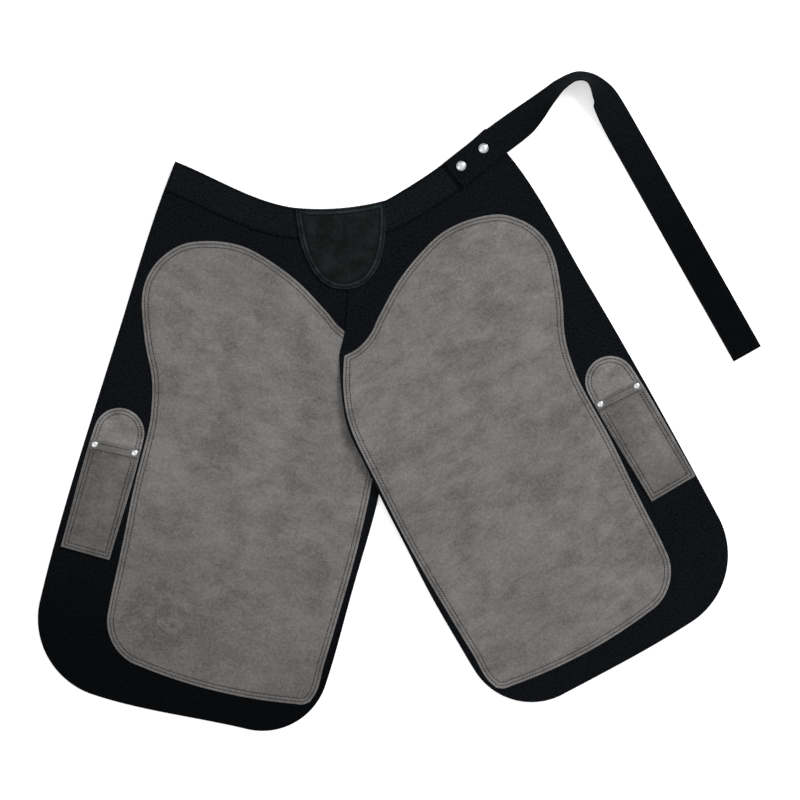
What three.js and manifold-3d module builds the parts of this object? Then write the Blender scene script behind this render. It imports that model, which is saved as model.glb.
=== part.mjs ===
// Split-leg welding apron, laid out flat on its back with the worked face up.
// Two canvas halves lap at the centre seam; each carries a suede leg panel and a riveted knife pocket.
// A strip waistband runs along the top, a leather patch covers its join, and a web strap is held to the
// right end of the band by two press studs. The right leg lies over the left one below the crotch.
// Millimetres, +X to the right, +Y towards the waist, +Z up from the surface that it lies on.

import * as THREE from 'three';
import { mergeVertices } from 'three/addons/utils/BufferGeometryUtils.js';
import Module from 'manifold-3d';

const wasm = await Module();
wasm.setup();

// ---------------------------------------------------------------- driving dimensions

const GAP = 0.3; // air between two faces that touch
const CANVAS = 1.2; // thickness of the garment canvas
const LEATHER = 1.8; // thickness of the suede panels and pockets

// Each half is cut in a frame of its own: u runs outwards across the leg, w down it from the crotch.
const LEG_OUTER = 350; // u of the straight outer edge as cut
const LEG_INNER = 88; // the inner edge stands about this far past the crotch
const LEG_LENGTH = 590; // w of the suede panel's lower edge
const HEM_OUTER_RADIUS = 120;
const HEM_INNER_RADIUS = 100;
const FRONT_RISE = 188; // crotch to the top of the waistband at the centre
const WAIST_TAPER = 11; // the waist end sits this far inside the outer edge
const SEAM_LAP = 18; // the right half laps over the left one by this much

// spread: how far the leg is turned out, in degrees. slip: where its pattern's crotch ends up.
// ease: how much further out its outer edge lies. hip: how much fuller that edge is at the hip.
// tuck: how much narrower the suede is on the inside.
// inner: how far the canvas's inner edge stands past the crotch, at shares of the length, from the hem up.
// border: canvas below the suede at the outer end. slant: how much less of it there is at the inner end.
// rise: waist end above the crotch. sag: dip of the waist edge.
const RIGHT = {
  name: 'right', hand: 1, spread: 30.4, slip: [0, 0],
  ease: -4, hip: 8, tuck: 5, border: 45, slant: 4, rise: 160, sag: 6,
  inner: [[86, 0.7], [80.5, 0.53], [77, 0.42], [72, 0.32], [66, 0.21], [46.5, 0.12], [24, 0.045]],
};
const LEFT = {
  name: 'left', hand: -1, spread: 15.8, slip: [31, 20.5],
  ease: 5, hip: -4, tuck: 0, border: 60, slant: 13, rise: 153, sag: 0,
  inner: [[92, 0.66], [92, 0.44], [82, 0.32], [74, 0.21], [51, 0.12], [25.5, 0.045]],
};

const BAND = { width: 47, thick: 1.6, inset: 2 };
const PATCH = { width: 135, length: 128, turn: 4.7, centre: -6, dip: 6, thick: 2 };
const SUEDE_TOP = 58; // height of the suede arch above the crotch
const SUEDE_CORNER = 72; // radius of the suede's outer lower corner
const SUEDE_SIDE_GAP = 3.5; // canvas showing between a suede panel and its pocket
const SUEDE_EDGE_GAP = 18; // canvas between the suede's widest point and the outer edge

const POCKET = { width: 76, length: 225, edge: 3, aboveHem: 141, mouthDrop: 56, mouthSlant: 5 };
const POCKET_ROOM = { height: 5.6, flange: 13, slope: 10, foot: 14 };

const RIVET = { cap: 5.6, capHeight: 2.4, base: 5.4, baseThick: 1.1, shank: 1.7, inset: 7.5, drop: 6 };
const SHANK_CLEARANCE = 0.35;

const STUD = { cap: 7.5, capHeight: 2.8, post: 5.6, postThick: 0.9, flange: 5.8, flangeThick: 0.6 };
const SNAP = { boss: 3.1, bossHeight: 2.5, socket: 6.2, socketHeight: 2.8, shank: 1.5 };
const STUD_PITCH = 42.5;
const STUD_FROM_END = 19;
const STUD_OFF_CENTRE = 3.5; // the studs sit this much nearer the strap's upper edge

const STRAP = { width: 47, thick: 2 };
const HOOK_TAPE = { length: 90, width: 34, thick: 1.5, fromEnd: 12 };

const FOLD_Y = -6; // the legs fold up along this line, just below the crotch
const FOLD_GAP = 3; // air left along the fold and at the strap's swing point
const CELL = 30; // spacing of the points that the right half's height is set at, over the left one

// ---------------------------------------------------------------- heights of the layers

const CANVAS_TOP = CANVAS;
const ON_CANVAS = CANVAS_TOP + GAP;
const PANEL_TOP = ON_CANVAS + LEATHER;
const OVER_LEG = PANEL_TOP + GAP; // the right leg lies this high where the left one is under it
const OVER_LAP = ON_CANVAS; // and this high along the centre seam
const RIVET_LIFT = RIVET.baseThick + GAP;
const WAIST_LIFT = { right: STUD.postThick + GAP, left: HOOK_TAPE.thick + GAP };
const BAND_TOP = ON_CANVAS + BAND.thick;
const STUD_BASE = BAND_TOP + WAIST_LIFT.right + GAP;
const SOCKET_BASE = STUD_BASE + STUD.flangeThick + GAP;
const STRAP_ON_STUDS = SOCKET_BASE + SNAP.socketHeight + GAP;
const SLACK = CELL * Math.SQRT2; // a lift reaches this far past what it clears
const SLOPE = 40; // a lifted stretch of cloth comes down over this distance

// The strap's lower edge on the surface, from the studs round its bend to the free end:
// x, y, height of that edge, and how far the web is tipped up on it, in degrees.
const STRAP_ROUTE = [
  [148, 257, STRAP_ON_STUDS, 0],
  [181, 283, STRAP_ON_STUDS, 0],
  [214, 309, STRAP_ON_STUDS, 0],
  [252, 336, 4.2, 14],
  [276, 352, 0.4, 36],
  [298, 367, 0.2, 55],
  [320, 382, 0, 66],
  [345, 393, 0, 71],
  [369, 392, 0, 67],
  [392, 380, 0, 44],
  [411, 360, 0, 21],
  [441, 310, 0, 2],
  [476, 248, 0, 0],
  [550, 116, 0, 0],
  [625, -17, 0, 0],
];
const SWING_STATION = 7.45; // where along that list the free end swings

// ---------------------------------------------------------------- small helpers

const deg = THREE.MathUtils.degToRad;
const clamp01 = (t) => Math.min(1, Math.max(0, t));
const rampUp = (value, from, to) => clamp01((value - from) / (to - from));

/** The two-way map between a half's own (u, w) and the garment's (x, y). */
function frameOf(side) {
  const c = Math.cos(deg(side.spread));
  const s = Math.sin(deg(side.spread));
  const [x0, y0] = side.slip;
  return {
    world: (u, w) => [x0 + side.hand * (u * c + w * s), y0 + u * s - w * c],
    local: (x, y) => {
      const dx = side.hand * (x - x0);
      const dy = y - y0;
      return [dx * c + dy * s, dx * s - dy * c];
    },
  };
}
const FRAMES = { right: frameOf(RIGHT), left: frameOf(LEFT) };

/** Closed triangles as a manifold solid, turned the right way out. */
function solidOf(geometry) {
  const bare = geometry.index ? geometry.toNonIndexed() : geometry.clone();
  bare.deleteAttribute('normal');
  bare.deleteAttribute('uv');
  const merged = mergeVertices(bare, 1e-4);
  const vertProperties = new Float32Array(merged.attributes.position.array);
  const triVerts = new Uint32Array(merged.index.array);
  if (signedVolume(vertProperties, triVerts) < 0) {
    for (let i = 0; i < triVerts.length; i += 3) {
      [triVerts[i + 1], triVerts[i + 2]] = [triVerts[i + 2], triVerts[i + 1]];
    }
  }
  return new wasm.Manifold(new wasm.Mesh({ numProp: 3, vertProperties, triVerts }));
}

function signedVolume(points, triangles) {
  const at = (i) => new THREE.Vector3().fromArray(points, 3 * i);
  let volume = 0;
  for (let i = 0; i < triangles.length; i += 3) {
    const [a, b, c] = [at(triangles[i]), at(triangles[i + 1]), at(triangles[i + 2])];
    volume += a.dot(b.cross(c)) / 6;
  }
  return volume;
}

function geometryOf(solid) {
  const mesh = solid.getMesh();
  const geometry = new THREE.BufferGeometry();
  geometry.setAttribute('position', new THREE.BufferAttribute(new Float32Array(mesh.vertProperties), 3));
  geometry.setIndex(new THREE.BufferAttribute(new Uint32Array(mesh.triVerts), 1));
  return geometry;
}

/** An upright prism over an outline given as [x, y] pairs. */
function prism(outline, low, high) {
  const shape = new THREE.Shape(outline.map(([x, y]) => new THREE.Vector2(x, y)));
  const geometry = new THREE.ExtrudeGeometry(shape, { depth: high - low, bevelEnabled: false });
  return solidOf(geometry.translate(0, 0, low));
}

function block(x0, x1, y0, y1, z0, z1) {
  const geometry = new THREE.BoxGeometry(x1 - x0, y1 - y0, z1 - z0);
  return solidOf(geometry.translate((x0 + x1) / 2, (y0 + y1) / 2, (z0 + z1) / 2));
}

/** A turned piece standing at x, y, from a profile of [radius, height] pairs. */
function turned(profile, x, y, sides = 20) {
  const points = profile.map(([r, z]) => new THREE.Vector2(r, z));
  const geometry = new THREE.LatheGeometry(points, sides).rotateX(Math.PI / 2);
  return solidOf(geometry.translate(x, y, 0));
}

const shankHole = (x, y, radius) => turned([[0, -2], [radius, -2], [radius, 40], [0, 40]], x, y, 16);

const inOrder = (lines) => [...new Set(lines)].sort((a, b) => a - b);

/** A sheet of even thickness over an outline. bottom(u, w, x, y) gives the height of its underside. */
function sheet(side, outline, thickness, bottom, extra = { u: [], w: [] }) {
  const frame = FRAMES[side.name];
  const lines = creases(side);
  const us = inOrder([...lines.u, ...extra.u]);
  const ws = inOrder([...lines.w, ...extra.w]);
  const points = [];
  for (const layer of [0, thickness]) {
    for (const w of ws) {
      for (const u of us) {
        const [x, y] = frame.world(u, w);
        points.push(x, y, bottom(u, w, x, y) + layer);
      }
    }
  }
  const across = us.length;
  const top = across * ws.length;
  const faces = [];
  const quad = (a, b, c, d) => faces.push(a, b, c, a, c, d);
  for (let j = 0; j + 1 < ws.length; j += 1) {
    for (let i = 0; i + 1 < across; i += 1) {
      const k = j * across + i;
      quad(top + k, top + k + across, top + k + across + 1, top + k + 1);
      // the underside is split along the same diagonal, so that the layers stay parallel
      faces.push(k, k + across + 1, k + across, k, k + 1, k + across + 1);
    }
  }
  for (let i = 0; i + 1 < across; i += 1) {
    const far = (ws.length - 1) * across + i;
    quad(i, top + i, top + i + 1, i + 1);
    quad(far, far + 1, top + far + 1, top + far);
  }
  for (let j = 0; j + 1 < ws.length; j += 1) {
    const near = j * across;
    const far = near + across - 1;
    quad(near, near + across, top + near + across, top + near);
    quad(far, top + far, top + far + across, far + across);
  }
  const geometry = new THREE.BufferGeometry();
  geometry.setAttribute('position', new THREE.Float32BufferAttribute(points, 3));
  geometry.setIndex(faces);
  return solidOf(geometry).intersect(prism(outline, -5, 80));
}

/** A line moved sideways, to its right when walked from first to last, turned by hand. */
function offsetLine(line, distance, hand) {
  return line.map((point, i) => {
    const before = line[Math.max(0, i - 1)];
    const after = line[Math.min(line.length - 1, i + 1)];
    const way = new THREE.Vector2(after[0] - before[0], after[1] - before[1]).normalize();
    return [point[0] + hand * way.y * distance, point[1] - hand * way.x * distance];
  });
}

const pathPoints = (path, steps) => path.getPoints(steps).map((p) => [p.x, p.y]);

// ---------------------------------------------------------------- lifts of the cloth

// Where a half's lifts begin and end: under its waist end, and round its pocket's rivets.
const WAIST_END = { u: LEG_OUTER - 150, w: -80 };
const rivetBand = () => ({ u: pocketInner() - 20, low: rivetRow() - 20, high: rivetRow() + 20 });

/** The lines, in u and w, that a half's cloth is bent along. */
function creases(side) {
  const { u, low, high } = rivetBand();
  const us = [-2 * LEG_INNER, WAIST_END.u - SLOPE, WAIST_END.u, u - SLOPE, u, 1.2 * LEG_OUTER];
  const ws = [-1.5 * FRONT_RISE, WAIST_END.w, WAIST_END.w + SLOPE, low - SLOPE, low, high, high + SLOPE,
    1.3 * LEG_LENGTH];
  if (side === RIGHT) {
    for (let t = -120; t < 220; t += CELL) us.push(t);
    for (let t = -210; t < 400; t += CELL) ws.push(t);
  }
  return { u: inOrder(us), w: inOrder(ws) };
}

/** How high a half's canvas lies off the surface. */
function liftOf(side) {
  const above = (value, start) => rampUp(value, start - SLOPE, start);
  const band = rivetBand();
  return (u, w, x, y) => {
    const waist = above(u, WAIST_END.u) * above(-w, -WAIST_END.w);
    const rivets = above(u, band.u) * Math.min(above(w, band.low), above(-w, -band.high));
    const lift = Math.max(WAIST_LIFT[side.name] * waist, RIVET_LIFT * rivets);
    if (side === LEFT) return lift;
    const [leftU, leftW] = FRAMES.left.local(x, y);
    const onLap = above(-x, -SEAM_LAP - 2 * SLACK);
    const onLeg = above(leftU, -LEG_INNER - SLACK) * above(-y, -SLACK)
      * above(-leftW, -0.5 * LEG_LENGTH - SLACK);
    return Math.max(lift, OVER_LAP * onLap, OVER_LEG * onLeg);
  };
}

/** The height of a layer that rests at a given level on a half's canvas. */
const layerAt = (side, level) => {
  const lift = liftOf(side);
  return (u, w, x, y) => lift(u, w, x, y) + level;
};

// ---------------------------------------------------------------- outlines

/** The patch's own axes: across it and up it, from the middle of its top edge. */
function patchPoint(across, down) {
  const c = Math.cos(deg(PATCH.turn));
  const s = Math.sin(deg(PATCH.turn));
  return [PATCH.centre + across * c + down * s, FRONT_RISE + 8 + across * s - down * c];
}

/** The top edge of the waistband, from the centre seam out to one end. */
function waistLine(side) {
  const corner = patchPoint((side.hand * PATCH.width) / 2, 0);
  const end = FRAMES[side.name].world(LEG_OUTER - WAIST_TAPER, -side.rise);
  const run = new THREE.Vector2(end[0] - corner[0], end[1] - corner[1]);
  const down = new THREE.Vector2(run.y, -run.x).normalize().multiplyScalar(2 * side.sag * side.hand);
  const middle = [(corner[0] + end[0]) / 2 + down.x, (corner[1] + end[1]) / 2 + down.y];
  const path = new THREE.Path();
  path.moveTo(0, FRONT_RISE);
  path.lineTo(...corner);
  if (side.sag) path.quadraticCurveTo(...middle, ...end);
  else path.lineTo(...end);
  return pathPoints(path, 6);
}

/** One canvas half: waist, straight outer edge, round hem, inner edge back up to the crotch. */
function canvasOutline(side) {
  const { world } = FRAMES[side.name];
  const hem = LEG_LENGTH + side.border;
  const waist = offsetLine(waistLine(side), BAND.inset, side.hand).slice(1);
  const bandEnd = offsetLine(waistLine(side), BAND.width, side.hand).at(-1);
  const outer = LEG_OUTER + side.ease;
  const leg = new THREE.Path();
  leg.moveTo(outer + side.hip, 0.2 * LEG_LENGTH);
  leg.lineTo(outer, hem - HEM_OUTER_RADIUS);
  leg.absarc(outer - HEM_OUTER_RADIUS, hem - HEM_OUTER_RADIUS, HEM_OUTER_RADIUS, 0, Math.PI / 2, false);
  const innerTurn = hem - side.slant - HEM_INNER_RADIUS;
  const innerCentre = HEM_INNER_RADIUS - side.inner[0][0];
  leg.absarc(innerCentre, innerTurn, HEM_INNER_RADIUS, Math.PI / 2, Math.PI, false);
  leg.splineThru(side.inner.map(([past, down]) => new THREE.Vector2(-past, down * LEG_LENGTH)));
  const centre = side === RIGHT
    ? [[0, 0], [0, FRONT_RISE - BAND.inset]]
    : [world(0, 0), [SEAM_LAP, 2 * world(0, 0)[1]], [SEAM_LAP, FRONT_RISE - BAND.inset]];
  return [...waist, bandEnd, ...pathPoints(leg, 9).map(([u, w]) => world(u, w)), ...centre];
}

const pocketInner = () => LEG_OUTER - POCKET.edge - POCKET.width;
const pocketTop = () => LEG_LENGTH - POCKET.aboveHem - POCKET.length;
const pocketBottom = () => LEG_LENGTH - POCKET.aboveHem;
const rivetRow = () => pocketTop() + POCKET.mouthDrop + RIVET.drop;

/** The suede leg panel: a wide arch at the hip, drawn in beside the pocket, square at the inner hem. */
function suedeOutline(side) {
  const beside = pocketInner() - SUEDE_SIDE_GAP;
  const widest = LEG_OUTER - SUEDE_EDGE_GAP;
  const upper = LEG_INNER - 6;
  const inner = upper - side.tuck;
  const low = LEG_LENGTH;
  const at = (u, down) => new THREE.Vector2(u, down * LEG_LENGTH);
  const path = new THREE.Path();
  path.moveTo(-16, 27);
  path.splineThru([at(-0.52 * upper, 0.119), at(-0.76 * upper, 0.212), at(-0.91 * inner, 0.36),
    at(-inner, 0.56), at(-inner, 0.78), at(2 - inner, 0.95)]);
  path.quadraticCurveTo(4 - inner, low - 10, 28 - inner, low - 9);
  path.absarc(beside - 15 - SUEDE_CORNER, low - SUEDE_CORNER, SUEDE_CORNER, Math.PI / 2, 0, true);
  path.splineThru([at(beside - 8, 0.7), at(beside - 2, 0.57), at(beside, 0.45), at(beside + 3, 0.38),
    at(beside + 16, 0.29), at(beside + 42, 0.2), at(widest, 0.09), at(widest - 5, 0.01),
    new THREE.Vector2(widest - 32, -32),
    new THREE.Vector2(widest - 68, 8 - SUEDE_TOP), new THREE.Vector2(widest - 112, -SUEDE_TOP),
    new THREE.Vector2(widest - 154, 5 - SUEDE_TOP), new THREE.Vector2(114, -30), new THREE.Vector2(56, 4)]);
  path.quadraticCurveTo(30, 26, 3, 28);
  return pathPoints(path, 3).map(([u, w]) => FRAMES[side.name].world(u, w));
}

/** The pocket's back panel: straight sides and a round top. */
function pocketBackOutline(side) {
  const half = POCKET.width / 2;
  const middle = pocketInner() + half;
  const path = new THREE.Path();
  path.moveTo(pocketInner(), pocketBottom());
  path.lineTo(pocketInner() + POCKET.width, pocketBottom());
  path.absarc(middle, pocketTop() + half, half, 0, -Math.PI, true);
  return pathPoints(path, 14).map(([u, w]) => FRAMES[side.name].world(u, w));
}

/** The pocket's front: from the slanted mouth down to the same lower edge. */
function pocketFrontOutline(side) {
  const outer = pocketInner() + POCKET.width;
  const mouth = pocketTop() + POCKET.mouthDrop;
  return [[pocketInner(), pocketBottom()], [outer, pocketBottom()],
    [outer, mouth + POCKET.mouthSlant / 2], [pocketInner(), mouth - POCKET.mouthSlant / 2]]
    .map(([u, w]) => FRAMES[side.name].world(u, w));
}

// ---------------------------------------------------------------- materials

const finish = (color, roughness, metalness = 0) => () => (
  new THREE.MeshStandardMaterial({ color, roughness, metalness })
);
const blackCanvas = finish(0x15161a, 0.95);
const blackWeb = finish(0x17181c, 0.9);
const blackLeather = finish(0x171c1c, 0.6);
const greySuede = finish(0x6a6562, 0.95);
const brightSteel = finish(0xc9ccd0, 0.22, 1);
const hookNylon = finish(0x101012, 0.8);

const apron = new THREE.Group();

function add(name, solid, material) {
  const mesh = new THREE.Mesh(geometryOf(solid), material());
  mesh.name = name;
  apron.add(mesh);
}

// ---------------------------------------------------------------- canvas and suede

const FAR = 2000;
const aboveFold = block(-FAR, FAR, FOLD_Y + FOLD_GAP / 2, FAR, -10, 100);
const belowFold = block(-FAR, FAR, -FAR, FOLD_Y - FOLD_GAP / 2, -10, 100);

/** A pocket's rivet places, inner one first. */
function rivetPlaces(side) {
  const outer = pocketInner() + POCKET.width;
  return [pocketInner() + RIVET.inset, outer - RIVET.inset].map((u) => {
    const slant = POCKET.mouthSlant * ((u - pocketInner()) / POCKET.width - 0.5);
    return FRAMES[side.name].world(u, rivetRow() + slant);
  });
}

/** The studs' places along the strap's first run, the one nearest its end first. */
function studPlaces() {
  const [first, , last] = STRAP_ROUTE;
  const way = new THREE.Vector2(last[0] - first[0], last[1] - first[1]).normalize();
  const inwards = new THREE.Vector2(way.y, -way.x).multiplyScalar(STRAP.width / 2 - STUD_OFF_CENTRE);
  return [STUD_FROM_END, STUD_FROM_END + STUD_PITCH].map((along) => [
    first[0] + way.x * along + inwards.x,
    first[1] + way.y * along + inwards.y,
  ]);
}

const drill = (solid, places, radius) => (
  places.reduce((left, [x, y]) => left.subtract(shankHole(x, y, radius)), solid)
);

for (const side of [LEFT, RIGHT]) {
  const canvas = sheet(side, canvasOutline(side), CANVAS, layerAt(side, 0));
  const riveted = drill(canvas, rivetPlaces(side), RIVET.shank + SHANK_CLEARANCE);
  const yoke = side === RIGHT ? drill(riveted, studPlaces(), SNAP.shank + SHANK_CLEARANCE) : riveted;
  add(`${side.name}_canvas_yoke`, yoke.intersect(aboveFold), blackCanvas);
  add(`${side.name}_canvas_leg`, riveted.intersect(belowFold), blackCanvas);

  const suede = sheet(side, suedeOutline(side), LEATHER, layerAt(side, ON_CANVAS));
  add(`${side.name}_suede_hip`, suede.intersect(aboveFold), greySuede);
  add(`${side.name}_suede_leg`, suede.intersect(belowFold), greySuede);
}

// ---------------------------------------------------------------- waistband, patch and hook tape

for (const side of [LEFT, RIGHT]) {
  const edge = waistLine(side);
  edge[0][0] += (side.hand * GAP) / 2;
  const outline = [...edge, ...offsetLine(edge, BAND.width, side.hand).reverse()];
  outline[outline.length - 1][0] = edge[0][0];
  const band = sheet(side, outline, BAND.thick, layerAt(side, ON_CANVAS));
  const places = side === RIGHT ? studPlaces() : [];
  add(`${side.name}_waistband`, drill(band, places, SNAP.shank + SHANK_CLEARANCE), blackCanvas);
}

/** The U-shaped leather patch over the join of the two bands. */
function centrePatch() {
  const half = PATCH.width / 2;
  const path = new THREE.Path();
  path.moveTo(-half, 0);
  path.bezierCurveTo(-half, PATCH.length * 0.5, -half * 0.78, PATCH.length, 0, PATCH.length);
  path.bezierCurveTo(half * 0.78, PATCH.length, half, PATCH.length * 0.5, half, 0);
  path.quadraticCurveTo(0, 2 * PATCH.dip, -half, 0);
  const outline = pathPoints(path, 12).map(([across, down]) => patchPoint(across, down));
  const base = OVER_LAP + BAND_TOP + GAP;
  return prism(outline, base, base + PATCH.thick);
}
add('centre_patch', centrePatch(), blackLeather);

/** The hook tape on the back of the left waist end, which catches the strap round the wearer. */
function hookTape() {
  const [inner, end] = waistLine(LEFT).slice(-2);
  const way = new THREE.Vector2(end[0] - inner[0], end[1] - inner[1]).normalize();
  const along = (back) => [end[0] - way.x * back, end[1] - way.y * back];
  const line = [along(HOOK_TAPE.fromEnd + HOOK_TAPE.length), along(HOOK_TAPE.fromEnd)];
  const margin = (BAND.width - HOOK_TAPE.width) / 2;
  const upper = offsetLine(line, margin, LEFT.hand);
  const lower = offsetLine(line, margin + HOOK_TAPE.width, LEFT.hand);
  return prism([...upper, ...lower.reverse()], 0, HOOK_TAPE.thick);
}
add('hook_tape', hookTape(), hookNylon);

// ---------------------------------------------------------------- knife pockets

/** How far a pocket's front stands off its back, so that a blade or chalk slides in. */
function pocketBulge(u, w) {
  const { height, flange, slope, foot } = POCKET_ROOM;
  const outer = pocketInner() + POCKET.width;
  const across = Math.min(rampUp(u, pocketInner() + flange, pocketInner() + flange + slope),
    rampUp(-u, flange - outer, flange + slope - outer));
  return height * across * rampUp(-w, foot / 2 - pocketBottom(), 1.5 * foot - pocketBottom());
}

function addPocket(side) {
  const places = rivetPlaces(side);
  const radius = RIVET.shank + SHANK_CLEARANCE;
  const back = sheet(side, pocketBackOutline(side), LEATHER, layerAt(side, ON_CANVAS));
  add(`${side.name}_pocket_back`, drill(back, places, radius), greySuede);

  const onBack = layerAt(side, PANEL_TOP + GAP);
  const bottom = (u, w, x, y) => onBack(u, w, x, y) + pocketBulge(u, w);
  const { flange, slope, foot } = POCKET_ROOM;
  const outer = pocketInner() + POCKET.width;
  const lines = {
    u: [pocketInner() + flange, pocketInner() + flange + slope, outer - flange - slope, outer - flange],
    w: [pocketBottom() - 1.5 * foot, pocketBottom() - foot / 2],
  };
  const front = sheet(side, pocketFrontOutline(side), LEATHER, bottom, lines);
  add(`${side.name}_pocket_front`, drill(front, places, radius), greySuede);

  ['inner', 'outer'].forEach((which, i) => {
    const [x, y] = places[i];
    const under = PANEL_TOP + GAP + LEATHER + RIVET_LIFT + GAP;
    add(`${side.name}_rivet_post_${which}`, turned(rivetPost(under), x, y, 16), brightSteel);
    add(`${side.name}_rivet_cap_${which}`, turned(rivetCap(under), x, y), brightSteel);
  });
}

/** A round base on the back of the canvas with the shank that goes up into the cap. */
function rivetPost(capBase) {
  const { base, baseThick, shank } = RIVET;
  return [[0, 0], [base - 0.6, 0], [base, 0.4], [base, baseThick], [shank, baseThick],
    [shank, capBase + 0.8], [0, capBase + 0.8]];
}

/** A shallow dome with a blind hole that the shank is set into. */
function rivetCap(base) {
  const { cap, capHeight, shank } = RIVET;
  const bore = shank + SHANK_CLEARANCE;
  return [[0, base + 1.2], [bore, base + 1.2], [bore, base], [cap, base], [cap, base + 0.7],
    [cap * 0.86, base + capHeight * 0.66], [cap * 0.5, base + capHeight * 0.93], [0, base + capHeight]];
}

addPocket(LEFT);
addPocket(RIGHT);

// ---------------------------------------------------------------- press studs

const postProfile = () => {
  const { post, postThick } = STUD;
  const tip = STUD_BASE + 1.6;
  return [[0, 0], [post, 0], [post, postThick], [SNAP.shank, postThick], [SNAP.shank, tip], [0, tip]];
};

/** The male half: a ring on the band with a boss that the socket springs over. */
const studProfile = () => {
  const bore = SNAP.shank + SHANK_CLEARANCE;
  const top = STUD_BASE + SNAP.bossHeight;
  const ledge = STUD_BASE + STUD.flangeThick;
  return [[bore, STUD_BASE], [STUD.flange, STUD_BASE], [STUD.flange, ledge], [SNAP.boss, ledge],
    [SNAP.boss, top], [0, top], [0, STUD_BASE + 1.6 + GAP], [bore, STUD_BASE + 1.6 + GAP], [bore, STUD_BASE]];
};

/** The female half: a ring round the boss, closed above it but for the cap's barrel. */
const socketProfile = () => {
  const wide = SNAP.boss + SHANK_CLEARANCE;
  const barrel = SNAP.shank + SHANK_CLEARANCE;
  const roof = STUD_BASE + SNAP.bossHeight + GAP;
  const top = SOCKET_BASE + SNAP.socketHeight;
  return [[wide, SOCKET_BASE], [SNAP.socket, SOCKET_BASE], [SNAP.socket, top], [barrel, top],
    [barrel, roof], [wide, roof], [wide, SOCKET_BASE]];
};

const capProfile = () => {
  const base = STRAP_ON_STUDS + STRAP.thick + GAP;
  const { cap, capHeight } = STUD;
  const foot = STUD_BASE + SNAP.bossHeight + 2 * GAP;
  return [[0, foot], [SNAP.shank, foot], [SNAP.shank, base], [cap, base], [cap, base + 0.8],
    [cap * 0.88, base + capHeight * 0.62], [cap * 0.55, base + capHeight * 0.92], [0, base + capHeight]];
};

const STUD_PIECES = [
  ['stud_post', postProfile, 16],
  ['stud', studProfile, 16],
  ['stud_socket', socketProfile, 16],
  ['stud_cap', capProfile, 20],
];
studPlaces().forEach(([x, y], i) => {
  for (const [name, profile, sides] of STUD_PIECES) {
    add(`${name}_${i + 1}`, turned(profile(), x, y, sides), brightSteel);
  }
});

// ---------------------------------------------------------------- strap

/** The web's section at a place along its route: the lower edge's two corners, then the upper edge's. */
function strapSection(route, t) {
  const [x, y, height, tip] = [0, 1, 2, 3].map((k) => route[k].getPoint(t).y);
  const ahead = [0, 1].map((k) => route[k].getPoint(Math.min(1, t + 1e-3)).y);
  const behind = [0, 1].map((k) => route[k].getPoint(Math.max(0, t - 1e-3)).y);
  const way = new THREE.Vector2(ahead[0] - behind[0], ahead[1] - behind[1]).normalize();
  const c = Math.cos(deg(tip));
  const s = Math.sin(deg(tip));
  const over = new THREE.Vector3(way.y * c, -way.x * c, s); // from the lower edge to the upper one
  const face = new THREE.Vector3(-way.y * s, way.x * s, c); // out of the web's outer face
  const edge = new THREE.Vector3(x, y, height);
  const far = edge.clone().addScaledVector(over, STRAP.width);
  const rise = face.multiplyScalar(STRAP.thick);
  return [edge, far, far.clone().add(rise), edge.clone().add(rise)];
}

/** A stretch of strap between two stations, which count along the route's list. */
function strapLength(from, to, steps) {
  const last = STRAP_ROUTE.length - 1;
  const route = [0, 1, 2, 3].map((k) => new THREE.SplineCurve(
    STRAP_ROUTE.map((station, i) => new THREE.Vector2(i, station[k])),
  ));
  const points = [];
  for (let i = 0; i <= steps; i += 1) {
    const corners = strapSection(route, (from + ((to - from) * i) / steps) / last);
    corners.forEach((p) => points.push(p.x, p.y, Math.max(0, p.z)));
  }
  const faces = [0, 1, 2, 0, 2, 3];
  for (let i = 0; i < steps; i += 1) {
    for (let k = 0; k < 4; k += 1) {
      const [a, b] = [4 * i + k, 4 * i + ((k + 1) % 4)];
      faces.push(a, a + 4, b + 4, a, b + 4, b);
    }
  }
  const end = 4 * steps;
  faces.push(end, end + 2, end + 1, end, end + 3, end + 2);
  const geometry = new THREE.BufferGeometry();
  geometry.setAttribute('position', new THREE.Float32BufferAttribute(points, 3));
  geometry.setIndex(faces);
  return solidOf(geometry);
}

const stationGap = FOLD_GAP / 2 / 26; // the stations are about 26 mm apart round the bend
const held = strapLength(0, SWING_STATION - stationGap, 26);
add('strap', drill(held, studPlaces(), SNAP.shank + SHANK_CLEARANCE), blackWeb);
add('strap_free_end', strapLength(SWING_STATION + stationGap, STRAP_ROUTE.length - 1, 28), blackWeb);

// ---------------------------------------------------------------- the object stands on its own middle

const bounds = new THREE.Box3().setFromObject(apron);
const middle = bounds.getCenter(new THREE.Vector3());
apron.position.set(-middle.x, -middle.y, -bounds.min.z);

export default apron;
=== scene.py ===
"""Looks of a split-leg welding apron that lies flat on its back with the worked face up.

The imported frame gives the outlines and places, and the heights of the layers below repeat its own. Cloth, suede
and leather are sheets with soft edges, puckered seams and separate stitches. Metres, +X to the right, +Y towards
the waist, +Z up.
"""

import math
import random

import bmesh
import bpy
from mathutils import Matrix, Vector, kdtree, noise
from mathutils.geometry import delaunay_2d_cdt


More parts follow.
